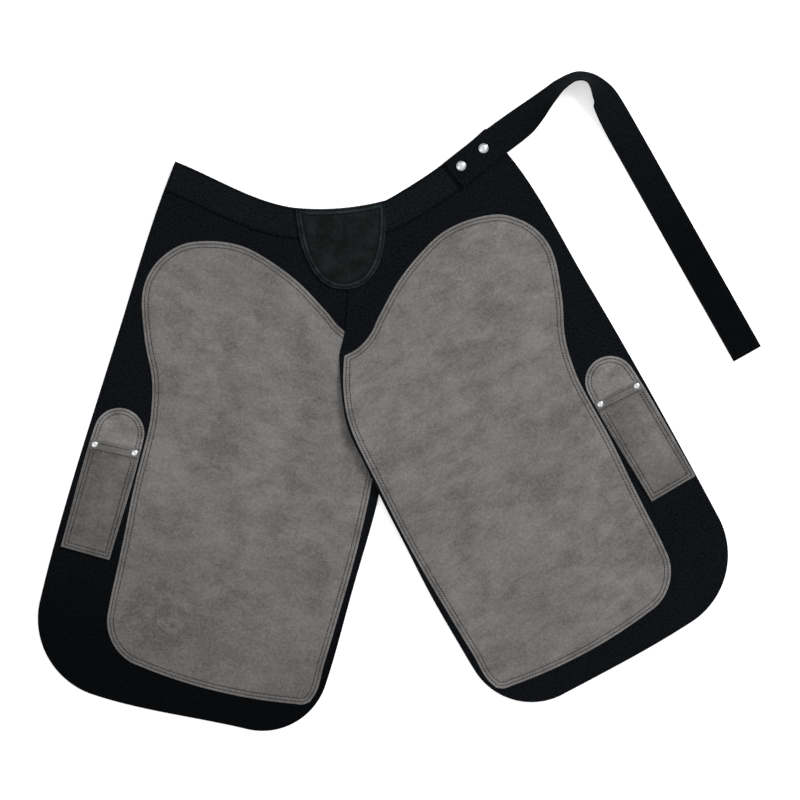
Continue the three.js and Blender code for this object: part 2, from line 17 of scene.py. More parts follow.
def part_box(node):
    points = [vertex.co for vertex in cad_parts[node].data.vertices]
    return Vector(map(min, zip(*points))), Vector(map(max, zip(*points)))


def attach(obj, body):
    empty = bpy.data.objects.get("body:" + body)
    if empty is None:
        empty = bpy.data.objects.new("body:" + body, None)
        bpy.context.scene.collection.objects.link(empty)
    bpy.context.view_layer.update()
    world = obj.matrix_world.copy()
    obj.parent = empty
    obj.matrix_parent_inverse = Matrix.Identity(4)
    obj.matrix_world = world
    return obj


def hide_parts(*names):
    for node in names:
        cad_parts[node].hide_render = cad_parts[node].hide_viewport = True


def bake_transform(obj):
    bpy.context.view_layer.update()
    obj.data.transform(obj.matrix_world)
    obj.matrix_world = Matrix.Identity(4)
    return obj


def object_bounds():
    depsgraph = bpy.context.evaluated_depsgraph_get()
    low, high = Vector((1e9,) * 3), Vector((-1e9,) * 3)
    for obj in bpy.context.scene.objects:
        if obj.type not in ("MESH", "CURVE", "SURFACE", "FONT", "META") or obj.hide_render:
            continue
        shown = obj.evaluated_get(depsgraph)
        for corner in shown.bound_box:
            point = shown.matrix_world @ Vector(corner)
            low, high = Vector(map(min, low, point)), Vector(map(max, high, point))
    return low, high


bl_info = {
    "name": "Split-leg welding apron",
    "version": (1, 0, 0),
    "blender": (4, 5, 0),
    "location": "3D View > Sidebar > Apron",
    "description": "Builds a welding apron's cloth, suede, pockets, rivets and strap round its frame",
    "category": "Object",
}

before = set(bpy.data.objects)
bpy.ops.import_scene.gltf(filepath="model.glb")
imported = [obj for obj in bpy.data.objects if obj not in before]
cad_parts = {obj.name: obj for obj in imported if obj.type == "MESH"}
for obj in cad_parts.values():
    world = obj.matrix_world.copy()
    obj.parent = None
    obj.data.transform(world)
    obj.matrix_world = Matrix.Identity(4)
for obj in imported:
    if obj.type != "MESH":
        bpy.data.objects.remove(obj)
CAD_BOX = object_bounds()

MM = 0.001

# ---------------------------------------------------------------- layout

FOLD_Y = (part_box("left_canvas_leg")[1][1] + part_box("left_canvas_yoke")[0][1]) / 2
CROTCH = (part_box("right_waistband")[0][0] - 0.15 * MM, FOLD_Y + 6 * MM)

CANVAS = 1.2 * MM  # thickness of the garment canvas
LEATHER = 1.8 * MM  # thickness of the suede panels and pockets
BAND = 1.6 * MM
PATCH = 2 * MM
HOOK_TAPE = 1.5 * MM
GAP = 0.3 * MM  # air between two layers
ON_CANVAS = CANVAS + GAP
PANEL_TOP = ON_CANVAS + LEATHER
OVER_LEG = PANEL_TOP + GAP  # the right half lies this high over the left leg
OVER_LAP = ON_CANVAS  # and this high where the halves lap at the centre

LEG_INNER = 88 * MM
LEG_LENGTH = 590 * MM
SEAM_LAP = 18 * MM
SLOPE = 40 * MM  # a lifted stretch of cloth comes down over this distance
SLACK = 30 * MM * math.sqrt(2)  # a lift reaches this far past what it clears
WAIST_END = (200 * MM, 80 * MM)  # the waist end is lifted further out and further up than this
WAIST_LIFT = {"left": 1.8 * MM, "right": 1.2 * MM}
CALM = (14 * MM, 70 * MM)  # the cloth lies flat this far round the metal pieces, and settles over this much more

# The right leg's inner edge stands off the left one: where that starts or ends, and over what distance.
CURL_ACROSS = (10 * MM, 95 * MM)
CURL_FROM = (5 * MM, 60 * MM)
CURL_TO = (330 * MM, 190 * MM)

POCKET_INNER = 271 * MM
POCKET_OUTER = 347 * MM
POCKET_FOOT = 449 * MM
MOUTH = 280 * MM
MOUTH_SLANT = 5 * MM
MOUTH_HEM = 17 * MM  # depth of the edge folded back at a pocket's mouth
RIVET_ROW = 286 * MM
RIVET_REACH = 20 * MM
RIVET_LIFT = 1.4 * MM
RIVET_CLEAR = 7 * MM  # no stitch comes nearer to a rivet's middle
POCKET_TONE = {"left": 0.74, "right": 0.84}
MOUTH_STITCHES = (3.4 * MM, MOUTH_HEM - 3.2 * MM)  # the two rows across the mouth, down from its edge
MOUTH_LINES = (1.8, 3.4, 5, 11, 12.6, 13.8, 15, 16.2, 17.6, 19.5, 22)  # mesh lines there, in millimetres
POCKET_ROOM = 3.6 * MM  # how far a pocket's front stands off its back
PATCH_FALL = 1.5 * MM  # the patch drops this far past the waistband
HOOK_ROW = 2.5 * MM

# Rows of stitches, by their distance from the piece's edge, and the rings that the mesh follows round them.
SUEDE_ROWS = (4.2 * MM, 9.4 * MM)
SUEDE_RINGS = (2.6 * MM, 4.2 * MM, 5.8 * MM, 7.8 * MM, 9.4 * MM, 11 * MM, 14 * MM)
POCKET_ROWS = (4 * MM, 9 * MM)
POCKET_RINGS = (2.4 * MM, 4 * MM, 5.6 * MM, 7.4 * MM, 9 * MM, 10.6 * MM)
PATCH_ROWS = (3.2 * MM, 9.5 * MM)
PATCH_RINGS = (2 * MM, 3.2 * MM, 4.6 * MM, 7.5 * MM, 9.5 * MM, 11.5 * MM)
BAND_ROW = 2.6 * MM
BAND_RINGS = (1.6 * MM, 2.6 * MM, 4 * MM, 7 * MM)
STITCH_SIDES = 5
STITCH_SHAPE = ((-0.5, 0.5, -0.4), (-0.3, 1, 0.6), (0.3, 1, 0.6), (0.5, 0.5, -0.4))  # along it, thickness, rise

RIGHT_HIDE = (2.3, -3.1)  # the right half's cloth and hide are cut this far from the left one's
STAIN = (174 * MM, 515 * MM, 0.0)  # a dark stain near the left panel's lower outer corner

# The strap's lower edge from the studs round its bend to the free end, measured from the crotch:
# x, y, height of that edge, and how far the strap is tipped up on it, in degrees.
STRAP_ON_STUDS = 7.9
STRAP_ROUTE = [
    (148, 257, STRAP_ON_STUDS, 0), (181, 283, STRAP_ON_STUDS, 0), (214, 309, STRAP_ON_STUDS, 0),
    (252, 336, 4.2, 14), (276, 352, 0.4, 36), (298, 367, 0.2, 55), (320, 382, 0, 66), (345, 393, 0, 71),
    (369, 392, 0, 67), (392, 380, 0, 44), (411, 360, 0, 21), (441, 310, 0, 2), (476, 248, 0, 0),
    (550, 116, 0, 0), (625, -17, 0, 0),
]
STRAP_WIDTH = 47 * MM
STRAP_THICK = 2 * MM
STRAP_SHARES = (0.0, 0.012, 0.035, 0.06, 0.085, 0.13, 0.2, 0.3, 0.4, 0.5, 0.6, 0.7, 0.8, 0.87, 0.915, 0.94, 0.965,
                0.988, 1.0)  # the mesh's lines across the strap
STRAP_ROW = 2.8 * MM
STRAP_ROW_RISE = 0.86  # height of the stitches through the strap's thickness
STATION_STEP = 0.02
MOST_TIPPED = max(tip for _, _, _, tip in STRAP_ROUTE)


class Half:
    """One canvas half's own axes: u runs outwards across the leg, w down it from the crotch."""

    def __init__(self, name, hand, spread, slip):
        self.name = name
        self.hand = hand
        self.cos = math.cos(math.radians(spread))
        self.sin = math.sin(math.radians(spread))
        self.x = CROTCH[0] + slip[0]
        self.y = CROTCH[1] + slip[1]

    def world(self, u, w):
        """The garment's x, y for a place given in the half's own axes."""
        return (self.x + self.hand * (u * self.cos + w * self.sin), self.y + u * self.sin - w * self.cos)

    def cloth(self, x, y):
        """Where a place lies on the hide or cloth that the half was cut from."""
        u, w = self.local(x, y)
        return (u, w) if self.name == "left" else (u + RIGHT_HIDE[0], w + RIGHT_HIDE[1])

    def local(self, x, y):
        """The half's own u, w for a place on the garment."""
        dx = self.hand * (x - self.x)
        dy = y - self.y
        return (dx * self.cos + dy * self.sin, dx * self.sin - dy * self.cos)


RIGHT = Half("right", 1, 30.4, (0, 0))
LEFT = Half("left", -1, 15.8, (31 * MM, 20.5 * MM))
HALVES = (LEFT, RIGHT)


def smooth(t):
    """A soft step from 0 to 1."""
    t = min(1.0, max(0.0, t))
    return t * t * (3 - 2 * t)


def above(value, start):
    """1 past a start, coming down softly before it."""
    return smooth((value - start + SLOPE) / SLOPE)


def bell(distance, width):
    """A rounded bump of height 1."""
    return math.exp(-((distance / width) ** 2))


def waver(x, y, x_rate, y_rate, seed):
    """A smooth unevenness between -1 and 1."""
    return noise.noise(Vector((x * x_rate, y * y_rate, seed)))


def box_middle(node):
    """The middle of a frame node's box."""
    low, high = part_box(node)
    return [(low[i] + high[i]) / 2 for i in range(3)]


HARDWARE = [
    box_middle(f"{side}_rivet_cap_{place}")[:2] for side in ("left", "right") for place in ("inner", "outer")
] + [box_middle(f"stud_cap_{i}")[:2] for i in (1, 2)]


def drape(x, y):
    """The shared unevenness of the cloth as it lies; none of it under the metal pieces."""
    near = min(math.dist((x, y), place) for place in HARDWARE)
    calm = smooth((near - CALM[0]) / CALM[1])
    sizes = bpy.context.scene.apron_sizes
    broad = 0.5 + 0.5 * waver(x, y, 5.2, 4.4, 1.7)
    fine = 0.5 + 0.5 * waver(x, y, 17, 13, 8.3)
    return calm * (sizes.drape * broad ** 1.4 + sizes.ripple * fine)


def lift(half, x, y):
    """How high a half's canvas lies off the floor."""
    u, w = half.local(x, y)
    waist = above(u, WAIST_END[0]) * above(-w, WAIST_END[1])
    rivets = above(u, POCKET_INNER - RIVET_REACH) * min(
        above(w, RIVET_ROW - RIVET_REACH), above(-w, -RIVET_ROW - RIVET_REACH))
    height = max(WAIST_LIFT[half.name] * waist, RIVET_LIFT * rivets)
    if half is RIGHT:
        left_u, left_w = LEFT.local(x, y)
        on_lap = above(-(x - CROTCH[0]), -SEAM_LAP - 2 * SLACK)
        on_leg = above(left_u, -LEG_INNER - SLACK) * above(CROTCH[1] - y, -SLACK)
        on_leg *= above(-left_w, -0.5 * LEG_LENGTH - SLACK)
        height = max(height, OVER_LAP * on_lap, OVER_LEG * on_leg)
        reach = smooth((-u + CURL_ACROSS[0]) / CURL_ACROSS[1])
        along = smooth((w - CURL_FROM[0]) / CURL_FROM[1]) * smooth((CURL_TO[0] - w) / CURL_TO[1])
        height += bpy.context.scene.apron_sizes.edge_curl * reach * along
    return height + drape(x, y)


# ---------------------------------------------------------------- outlines


def node_loop(node):
    """The outline of a frame node's upper face, running anticlockwise."""
    bm = bmesh.new()
    bm.from_mesh(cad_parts[node].data)
    bmesh.ops.remove_doubles(bm, verts=bm.verts, dist=1e-5)
    bm.normal_update()
    following = {}
    for edge in bm.edges:
        if len(edge.link_faces) != 2:
            continue
        up = [face.normal.z > 0.2 for face in edge.link_faces]
        if up[0] == up[1]:
            continue
        a, b = (v.index for v in edge.verts)
        following.setdefault(a, []).append(b)
        following.setdefault(b, []).append(a)
    places = {v.index: (v.co.x, v.co.y) for v in bm.verts}
    bm.free()
    loops = []
    left = set(following)
    while left:
        start = min(left)
        loop = [start]
        left.discard(start)
        while True:
            ahead = [v for v in following[loop[-1]] if v in left]
            if not ahead:
                break
            loop.append(ahead[0])
            left.discard(ahead[0])
        loops.append([places[v] for v in loop])
    return anticlockwise(max(loops, key=lambda loop: abs(area_of(loop))))


def area_of(loop):
    """The signed area inside a closed outline."""
    return sum(a[0] * b[1] - b[0] * a[1] for a, b in zip(loop, loop[1:] + loop[:1])) / 2


def cut_area(loop):
    """The area of cloth inside a smooth outline."""
    return abs(area_of([tuple(p) for p in loop]))


def anticlockwise(loop):
    """The outline, turned to run anticlockwise."""
    return loop if area_of(loop) > 0 else loop[::-1]


def without_straights(loop):
    """The outline without the points that only divide a straight stretch."""
    kept = list(loop)
    changed = True
    while changed:
        changed = False
        for i in range(len(kept) - 1, -1, -1):
            a, b, c = Vector(kept[i - 1]), Vector(kept[i]), Vector(kept[(i + 1) % len(kept)])
            run = (c - a).length
            if run < 1e-9 or (b - a).length < 0.5 * MM or abs((c - a).cross(b - a)) / run < 0.02 * MM:
                del kept[i]
                changed = True
    return kept


def joined_at_fold(upper, lower):
    """One outline from the two nodes' outlines that meet across the fold line."""

    def opened(loop):
        """The outline as a chain that starts and ends at the fold line."""
        off = [abs(p[1] - FOLD_Y) > 1.7 * MM for p in loop]
        start = next(i for i in range(len(loop)) if off[i] and not off[i - 1])
        turned = loop[start:] + loop[:start]
        return [p for p in turned if abs(p[1] - FOLD_Y) > 1.7 * MM]

    return anticlockwise(opened(node_loop(upper)) + opened(node_loop(lower)))


def rounded(loop, spacing, corner=30):
    """A smooth closed line through an outline's points that keeps its true corners."""
    points = [Vector(p) for p in without_straights(loop)]
    count = len(points)
    tangents = []
    for i in range(count):
        before = points[i] - points[i - 1]
        after = points[(i + 1) % count] - points[i]
        if math.degrees(before.angle(after)) > corner:
            tangents.append(None)
        else:
            weight = before.length + after.length
            tangents.append((after / after.length * before.length + before / before.length * after.length) / weight)
    line = []
    for i in range(count):
        a, b = points[i], points[(i + 1) % count]
        run = (b - a).length
        straight = (b - a) / run
        ta = tangents[i] or straight
        tb = tangents[(i + 1) % count] or straight
        steps = max(1, round(run / spacing))
        for k in range(steps):
            t = k / steps
            line.append(a * (2 * t ** 3 - 3 * t ** 2 + 1) + ta * run * (t ** 3 - 2 * t ** 2 + t)
                        + b * (3 * t ** 2 - 2 * t ** 3) + tb * run * (t ** 3 - t ** 2))
    return line


def edge_tree(loop):
    """A quick finder of the nearest edge point."""
    dense = []
    for a, b in zip(loop, loop[1:] + loop[:1]):
        steps = max(1, math.ceil((b - a).length / (1 * MM)))
        dense += [a.lerp(b, k / steps) for k in range(steps)]
    tree = kdtree.KDTree(len(dense))
    for i, p in enumerate(dense):
        tree.insert((p.x, p.y, 0), i)
    tree.balance()
    return tree


def from_edge(tree, x, y):
    """The distance from a place to the edge."""
    return tree.find((x, y, 0))[2]


def moved_in(loop, distance):
    """The outline moved inwards by a distance, point for point."""
    count = len(loop)
    line = []
    for i in range(count):
        before = (loop[i] - loop[i - 1]).normalized()
        after = (loop[(i + 1) % count] - loop[i]).normalized()
        inward = Vector((-(before.y + after.y), before.x + after.x))
        size = inward.length
        if size < 1e-6:
            line.append(loop[i].copy())
            continue
        line.append(loop[i] + inward / size * distance * min(1.6, 2 / size))
    return line


def seam_line(loop, tree, distance):
    """A closed seam at a distance inside an outline, with its corners left clean."""
    line = [p for p in moved_in(loop, distance) if from_edge(tree, p.x, p.y) > 0.97 * distance]
    return line + line[:1]


# ---------------------------------------------------------------- meshes


def new_object(name, verts, faces, material, uvs=None, edges=None):
    """A smooth-shaded mesh object with its cloth coordinates, and distances from its edge if it needs them."""
    mesh = bpy.data.meshes.new(name)
    mesh.from_pydata(verts, [], faces)
    for key, pairs in (("cloth", uvs), ("edge", edges)):
        if pairs:
            layer = mesh.uv_layers.new(name=key)
            layer.data.foreach_set("uv", [c for loop in mesh.loops for c in pairs[loop.vertex_index]])
    mesh.polygons.foreach_set("use_smooth", [True] * len(mesh.polygons))
    mesh.materials.append(material)
    mesh.update()
    piece = bpy.data.objects.new(name, mesh)
    bpy.context.scene.collection.objects.link(piece)
    return piece


def cut_sheet(name, loop, bottom, thickness, material, uv, grid, rings=(), lines=(), mark=None):
    """A sheet over an outline, with rounded edges.

    bottom(x, y) is its underside and thickness(x, y, d) its thickness at a distance d from the edge.
    rings are distances from the edge, and lines are extra lines, that the mesh follows closely.
    mark(x, y) says how far a place is from the nearest sewn edge, where that is not the sheet's own edge.
    """
    tree = edge_tree(loop)
    mark = mark or (lambda x, y: from_edge(tree, x, y))
    edge = min(0.9 * MM, 0.5 * thickness(loop[0].x, loop[0].y, 1))
    rim = moved_in(loop, edge)
    points = [Vector((p.x, p.y)) for p in rim]
    for distance in rings:
        points += [p for p in moved_in(loop, distance) if from_edge(tree, p.x, p.y) > 0.9 * distance]
    for line in lines:
        points += [p for p in line if inside(loop, p) and from_edge(tree, p.x, p.y) > 1.5 * edge]
    clear = max([edge, *rings]) + 0.55 * grid
    xs = [p.x for p in loop]
    ys = [p.y for p in loop]
    row = 0
    y = min(ys)
    while y < max(ys):
        x = min(xs) + (grid / 2 if row % 2 else 0)
        while x < max(xs):
            p = Vector((x, y))
            if from_edge(tree, x, y) > clear and inside(loop, p):
                if not any(abs((p - q).length) < 0.5 * grid for line in lines for q in line[::4]):
                    points.append(p)
            x += grid
        row += 1
        y += grid * 0.866
    count = len(rim)
    flat, _, faces, origins, _, _ = delaunay_2d_cdt(points, [], [list(range(count))], 1, 1e-7)
    place = {}
    for i, sources in enumerate(origins):
        for source in sources:
            place.setdefault(source, i)
    total = len(flat)
    top, under = [], []
    for p in flat:
        low = bottom(p.x, p.y)
        high = low + thickness(p.x, p.y, from_edge(tree, p.x, p.y))
        top.append((p.x, p.y, high))
        under.append((p.x, p.y, low))
    verts = top + under
    mesh_faces = [tuple(face) for face in faces] + [tuple(total + i for i in reversed(face)) for face in faces]
    levels = [(0.28 * edge, 0.78), (0.0, 0.5), (0.28 * edge, 0.2)]
    bands = [[place[i] for i in range(count)]]
    for distance, share in levels:
        ring = moved_in(loop, distance) if distance else loop
        start = len(verts)
        for p in ring:
            low = bottom(p.x, p.y)
            verts.append((p.x, p.y, low + share * thickness(p.x, p.y, 0)))
        bands.append(list(range(start, start + count)))
    bands.append([total + place[i] for i in range(count)])
    for upper, lower in zip(bands, bands[1:]):
        for i in range(count):
            j = (i + 1) % count
            mesh_faces.append((upper[i], lower[i], lower[j], upper[j]))
    edges = [(mark(v[0], v[1]), 0.0) for v in verts]
    return new_object(name, verts, mesh_faces, material, [uv(v[0], v[1]) for v in verts], edges)


def inside(loop, p):
    """True where a place is inside an outline."""
    hit = False
    for a, b in zip(loop, loop[1:] + loop[:1]):
        if (a.y > p.y) != (b.y > p.y) and p.x < (b.x - a.x) * (p.y - a.y) / (b.y - a.y) + a.x:
            hit = not hit
    return hit


def spaced(line, step):
    """Points with their normals at even steps along a line of (point, normal) pairs."""
    out = [line[0]]
    carried = 0.0
    for (a, na), (b, nb) in zip(line, line[1:]):
        run = (b - a).length
        at = step - carried
        while at <= run:
            t = at / run
            out.append((a.lerp(b, t), na.lerp(nb, t).normalized()))
            at += step
        carried = (carried + run) % step if run else carried
    return out


def stitching(name, rows, keep=None):
    """Rows of separate stitches. Each row is a line of (point, normal) pairs on the cloth's face."""
    sizes = bpy.context.scene.apron_sizes
    radius = sizes.thread / 2
    rng = random.Random(name)
    verts, faces = [], []
    sides = STITCH_SIDES
    for row in rows:
        marks = spaced(row, sizes.pitch)
        for (a, normal), (b, _) in zip(marks, marks[1:]):
            if keep and not keep(a.lerp(b, 0.5)):
                continue
            way = (b - a).normalized()
            across = normal.cross(way).normalized()
            way = (way + across * rng.uniform(-0.06, 0.06)).normalized()
            across = normal.cross(way).normalized()
            length = sizes.pitch * rng.uniform(0.7, 0.78)
            middle = a.lerp(b, 0.5)
            start = len(verts)
            for share, size, rise in STITCH_SHAPE:
                centre = middle + way * length * share + normal * radius * rise
                for k in range(sides):
                    turn = 2 * math.pi * k / sides
                    verts.append(centre + (across * math.cos(turn) + normal * math.sin(turn)) * radius * size)
            for ring in range(3):
                for k in range(sides):
                    p, q = start + ring * sides + k, start + ring * sides + (k + 1) % sides
                    faces.append((p, q, q + sides, p + sides))
            faces.append(tuple(start + k for k in reversed(range(sides))))
            faces.append(tuple(start + 3 * sides + k for k in range(sides)))
    return new_object(name, verts, faces, thread_finish())


def on_face(line, height):
    """A flat line as (point, normal) pairs on a face of a given height."""
    return [(Vector((p[0], p[1], height(p[0], p[1]))), Vector((0, 0, 1))) for p in line]


def turned(name, node, profile, material, sides=48):
    """A turned metal piece in a frame node's place. Its profile is in shares of the node's radius and height."""
    low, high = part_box(node)
    radius = (high[0] - low[0]) / 2
    x, y, _ = box_middle(node)
    verts, faces = [], []
    for share_r, share_z in profile:
        z = low[2] + (high[2] - low[2]) * share_z
        for k in range(sides):
            turn = 2 * math.pi * k / sides
            verts.append((x + radius * share_r * math.cos(turn), y + radius * share_r * math.sin(turn), z))
    for ring in range(len(profile) - 1):
        for k in range(sides):
            a, b = ring * sides + k, ring * sides + (k + 1) % sides
            faces.append((a, b, b + sides, a + sides))
    faces.append(tuple(reversed(range(sides))))
    last = (len(profile) - 1) * sides
    faces.append(tuple(last + k for k in range(sides)))
    uvs = [(v[0], v[1]) for v in verts]
    piece = new_object(name, verts, faces, material, uvs)
    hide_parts(node)
    return piece


def over_fold(piece):
    """Bakes a left-half piece's place into its mesh."""
    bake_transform(piece)


def upper_of_right(piece):
    """Bakes a right-half upper piece's place into its mesh."""
    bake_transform(piece)


def lower_of_right(piece):
    """Bakes a right-half lower piece's place into its mesh."""
    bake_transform(piece)


def parted_at_fold(piece, upper_name, lower_name):
    """A sheet cut in two along the fold line, both parts closed there and shaded as one."""
    material = piece.data.materials[0]
    cuts = []
    for name, keep_upper in ((upper_name, True), (lower_name, False)):
        bm = bmesh.new()
        bm.from_mesh(piece.data)
        bmesh.ops.bisect_plane(
            bm, geom=bm.verts[:] + bm.edges[:] + bm.faces[:], dist=1e-7, plane_co=(0, FOLD_Y, 0),
            plane_no=(0, 1, 0), clear_inner=keep_upper, clear_outer=not keep_upper)
        bm.normal_update()
        bm.verts.index_update()
        rim = {v.index for e in bm.edges if e.is_boundary for v in e.verts}
        normals = [v.normal.copy() for v in bm.verts]
        bmesh.ops.edgenet_fill(bm, edges=[e for e in bm.edges if e.is_boundary])
        bmesh.ops.triangulate(bm, faces=[f for f in bm.faces if len(f.verts) > 4])
        bm.verts.index_update()
        mesh = bpy.data.meshes.new(name)
        bm.to_mesh(mesh)
        bm.free()
        cuts.append((name, mesh, rim, normals))
    shared = {}
    for _, mesh, rim, normals in cuts:
        for i in rim:
            key = tuple(round(c, 6) for c in mesh.vertices[i].co)
            shared[key] = shared.get(key, Vector()) + normals[i]
    parts = []
    for name, mesh, rim, normals in cuts:
        for i in rim:
            key = tuple(round(c, 6) for c in mesh.vertices[i].co)
            normals[i] = shared[key].normalized()
        mesh.polygons.foreach_set("use_smooth", [True] * len(mesh.polygons))
        mesh.normals_split_custom_set_from_vertices(normals)
        if not mesh.materials:
            mesh.materials.append(material)
        part = bpy.data.objects.new(name, mesh)
        bpy.context.scene.collection.objects.link(part)
        parts.append(part)
    bpy.data.objects.remove(piece)
    return parts


# ---------------------------------------------------------------- shader groups


def shader_group(name, inputs, outputs):
    """A new node group with named inputs and outputs, or None and the group that is there already."""
    if name in bpy.data.node_groups:
        return bpy.data.node_groups[name], None, None
    group = bpy.data.node_groups.new(name, "ShaderNodeTree")
    for socket, kind, default in inputs:
        made = group.interface.new_socket(socket, in_out="INPUT", socket_type=kind)
        if default is not None:
            made.default_value = default
    for socket, kind in outputs:
        group.interface.new_socket(socket, in_out="OUTPUT", socket_type=kind)
    return group, group.nodes.new("NodeGroupInput"), group.nodes.new("NodeGroupOutput")


class Wiring:
    """Short hands for adding nodes to a tree."""

    def __init__(self, tree):
        self.tree = tree

    def add(self, kind, inputs=None, **settings):
        """A node with its settings, and its inputs as values or as sockets to link."""
        node = self.tree.nodes.new(kind)
        for key, value in settings.items():
            setattr(node, key, value)
        return self.feed(node, inputs or {})

    def feed(self, node, inputs):
        """The node, with its inputs given as values or as sockets to link."""
        for key, value in inputs.items():
            if isinstance(value, bpy.types.NodeSocket):
                self.tree.links.new(value, node.inputs[key])
            else:
                node.inputs[key].default_value = value
        return node

    def math(self, operation, a, b=0.0, c=0.0):
        """The output of a math node."""
        return self.add("ShaderNodeMath", {0: a, 1: b, 2: c}, operation=operation).outputs[0]

    def noise(self, place, scale, detail=3.0, roughness=0.55):
        """The output of a noise node."""
        return self.add("ShaderNodeTexNoise", {
            "Vector": place, "Scale": scale, "Detail": detail, "Roughness": roughness}).outputs["Fac"]

    def spread(self, value, low, high, to_low=0.0, to_high=1.0):
        """A value stretched from one range to another and kept inside it."""
        node = self.add("ShaderNodeMapRange", {
            "Value": value, "From Min": low, "From Max": high, "To Min": to_low, "To Max": to_high})
        return node.outputs["Result"]

    def blend(self, share, a, b, mode="MIX"):
        """The output of a colour mix."""
        node = self.tree.nodes.new("ShaderNodeMix")
        node.data_type = "RGBA"
        node.blend_type = mode
        return self.feed(node, {0: share, 6: a, 7: b}).outputs[2]


def weave_group():
    """Crossed threads: a height, and a mask of the uneven yarn."""
    group, entry, end = shader_group(
        "woven_threads",
        [("Place", "NodeSocketVector", None), ("Threads per metre", "NodeSocketFloat", 900.0),
         ("Unevenness", "NodeSocketFloat", 0.5)],
        [("Height", "NodeSocketFloat"), ("Yarn", "NodeSocketFloat")])
    if entry is None:
        return group
    w = Wiring(group)
    place, pitch, uneven = (entry.outputs[k] for k in ("Place", "Threads per metre", "Unevenness"))
    axes = w.add("ShaderNodeSeparateXYZ", {0: place})
    waves = [w.math("SINE", w.math("MULTIPLY", w.math("MULTIPLY", axes.outputs[i], pitch), math.pi)) for i in (0, 1)]
    crossing = w.math("MULTIPLY", *waves)
    threads = w.math("MULTIPLY_ADD", crossing, 0.5, 0.5)
    warp = w.add("ShaderNodeVectorMath", {0: place, 1: (1400, 160, 1)}, operation="MULTIPLY").outputs[0]
    weft = w.add("ShaderNodeVectorMath", {0: place, 1: (160, 1400, 1)}, operation="MULTIPLY").outputs[0]
    slubs = w.math("MULTIPLY_ADD", w.math("ADD", w.noise(warp, 1.0), w.noise(weft, 1.0)), 0.5, 0.0)
    fleck = w.noise(place, 360.0, 2.0, 0.6)
    yarn = w.math("MULTIPLY_ADD", w.math("ADD", slubs, fleck), 0.5, 0.0)
    height = w.math("MULTIPLY_ADD", yarn, uneven, threads)
    w.feed(end, {"Height": height, "Yarn": w.spread(yarn, 0.41, 0.6)})
    return group


def hide_group():
    """Split hide: a nap height, a broad cloudy mask, dark stains and pale rubs."""
    group, entry, end = shader_group(
        "split_hide",
        [("Place", "NodeSocketVector", None), ("Cloud size", "NodeSocketFloat", 14.0)],
        [("Height", "NodeSocketFloat"), ("Clouds", "NodeSocketFloat"), ("Stains", "NodeSocketFloat"),
         ("Nap", "NodeSocketFloat")])
    if entry is None:
        return group
    w = Wiring(group)
    place, size = entry.outputs["Place"], entry.outputs["Cloud size"]
    warped = w.add("ShaderNodeVectorMath", {
        0: w.add("ShaderNodeTexNoise", {"Vector": place, "Scale": 9.0, "Detail": 2.0}).outputs["Color"],
        1: (0.03, 0.03, 0.0), 2: place}, operation="MULTIPLY_ADD").outputs[0]
    broad = w.noise(warped, size, 5.0, 0.6)
    brushed = w.add("ShaderNodeVectorMath", {0: warped, 1: (1.0, 1.7, 1.0)}, operation="MULTIPLY").outputs[0]
    streaks = w.noise(brushed, 26.0, 5.0, 0.65)
    clouds = w.math("MULTIPLY_ADD", streaks, 0.45, w.math("MULTIPLY", broad, 0.55))
    nap = w.noise(place, 520.0, 2.0, 0.6)
    tufts = w.noise(place, 190.0, 4.0, 0.75)
    stains = w.noise(warped, 7.0, 4.0, 0.7)
    height = w.math("MULTIPLY_ADD", nap, 0.4, w.math("MULTIPLY", tufts, 0.6))
    mixed = w.math("MULTIPLY_ADD", nap, 0.5, w.math("MULTIPLY", tufts, 0.5))
    w.feed(end, {"Height": height, "Clouds": w.spread(clouds, 0.41, 0.59), "Stains": w.spread(stains, 0.52, 0.7),
                 "Nap": w.spread(mixed, 0.4, 0.6)})
    return group


def grain_group():
    """Smooth leather: pebbled grain and creases between the pebbles."""
    group, entry, end = shader_group(
        "leather_grain",
        [("Place", "NodeSocketVector", None), ("Pebbles per metre", "NodeSocketFloat", 700.0)],
        [("Height", "NodeSocketFloat"), ("Wear", "NodeSocketFloat")])
    if entry is None:
        return group
    w = Wiring(group)
    place, pebbles = entry.outputs["Place"], entry.outputs["Pebbles per metre"]
    cells = w.add("ShaderNodeTexVoronoi", {"Vector": place, "Scale": pebbles}, feature="DISTANCE_TO_EDGE")
    height = w.spread(cells.outputs["Distance"], 0.0, 0.22)
    wear = w.math("MULTIPLY_ADD", w.noise(place, 40.0, 5.0, 0.65), 0.6,
                  w.math("MULTIPLY", w.noise(place, 340.0, 3.0, 0.6), 0.4))
    w.feed(end, {"Height": height, "Wear": w.spread(wear, 0.42, 0.6)})
    return group


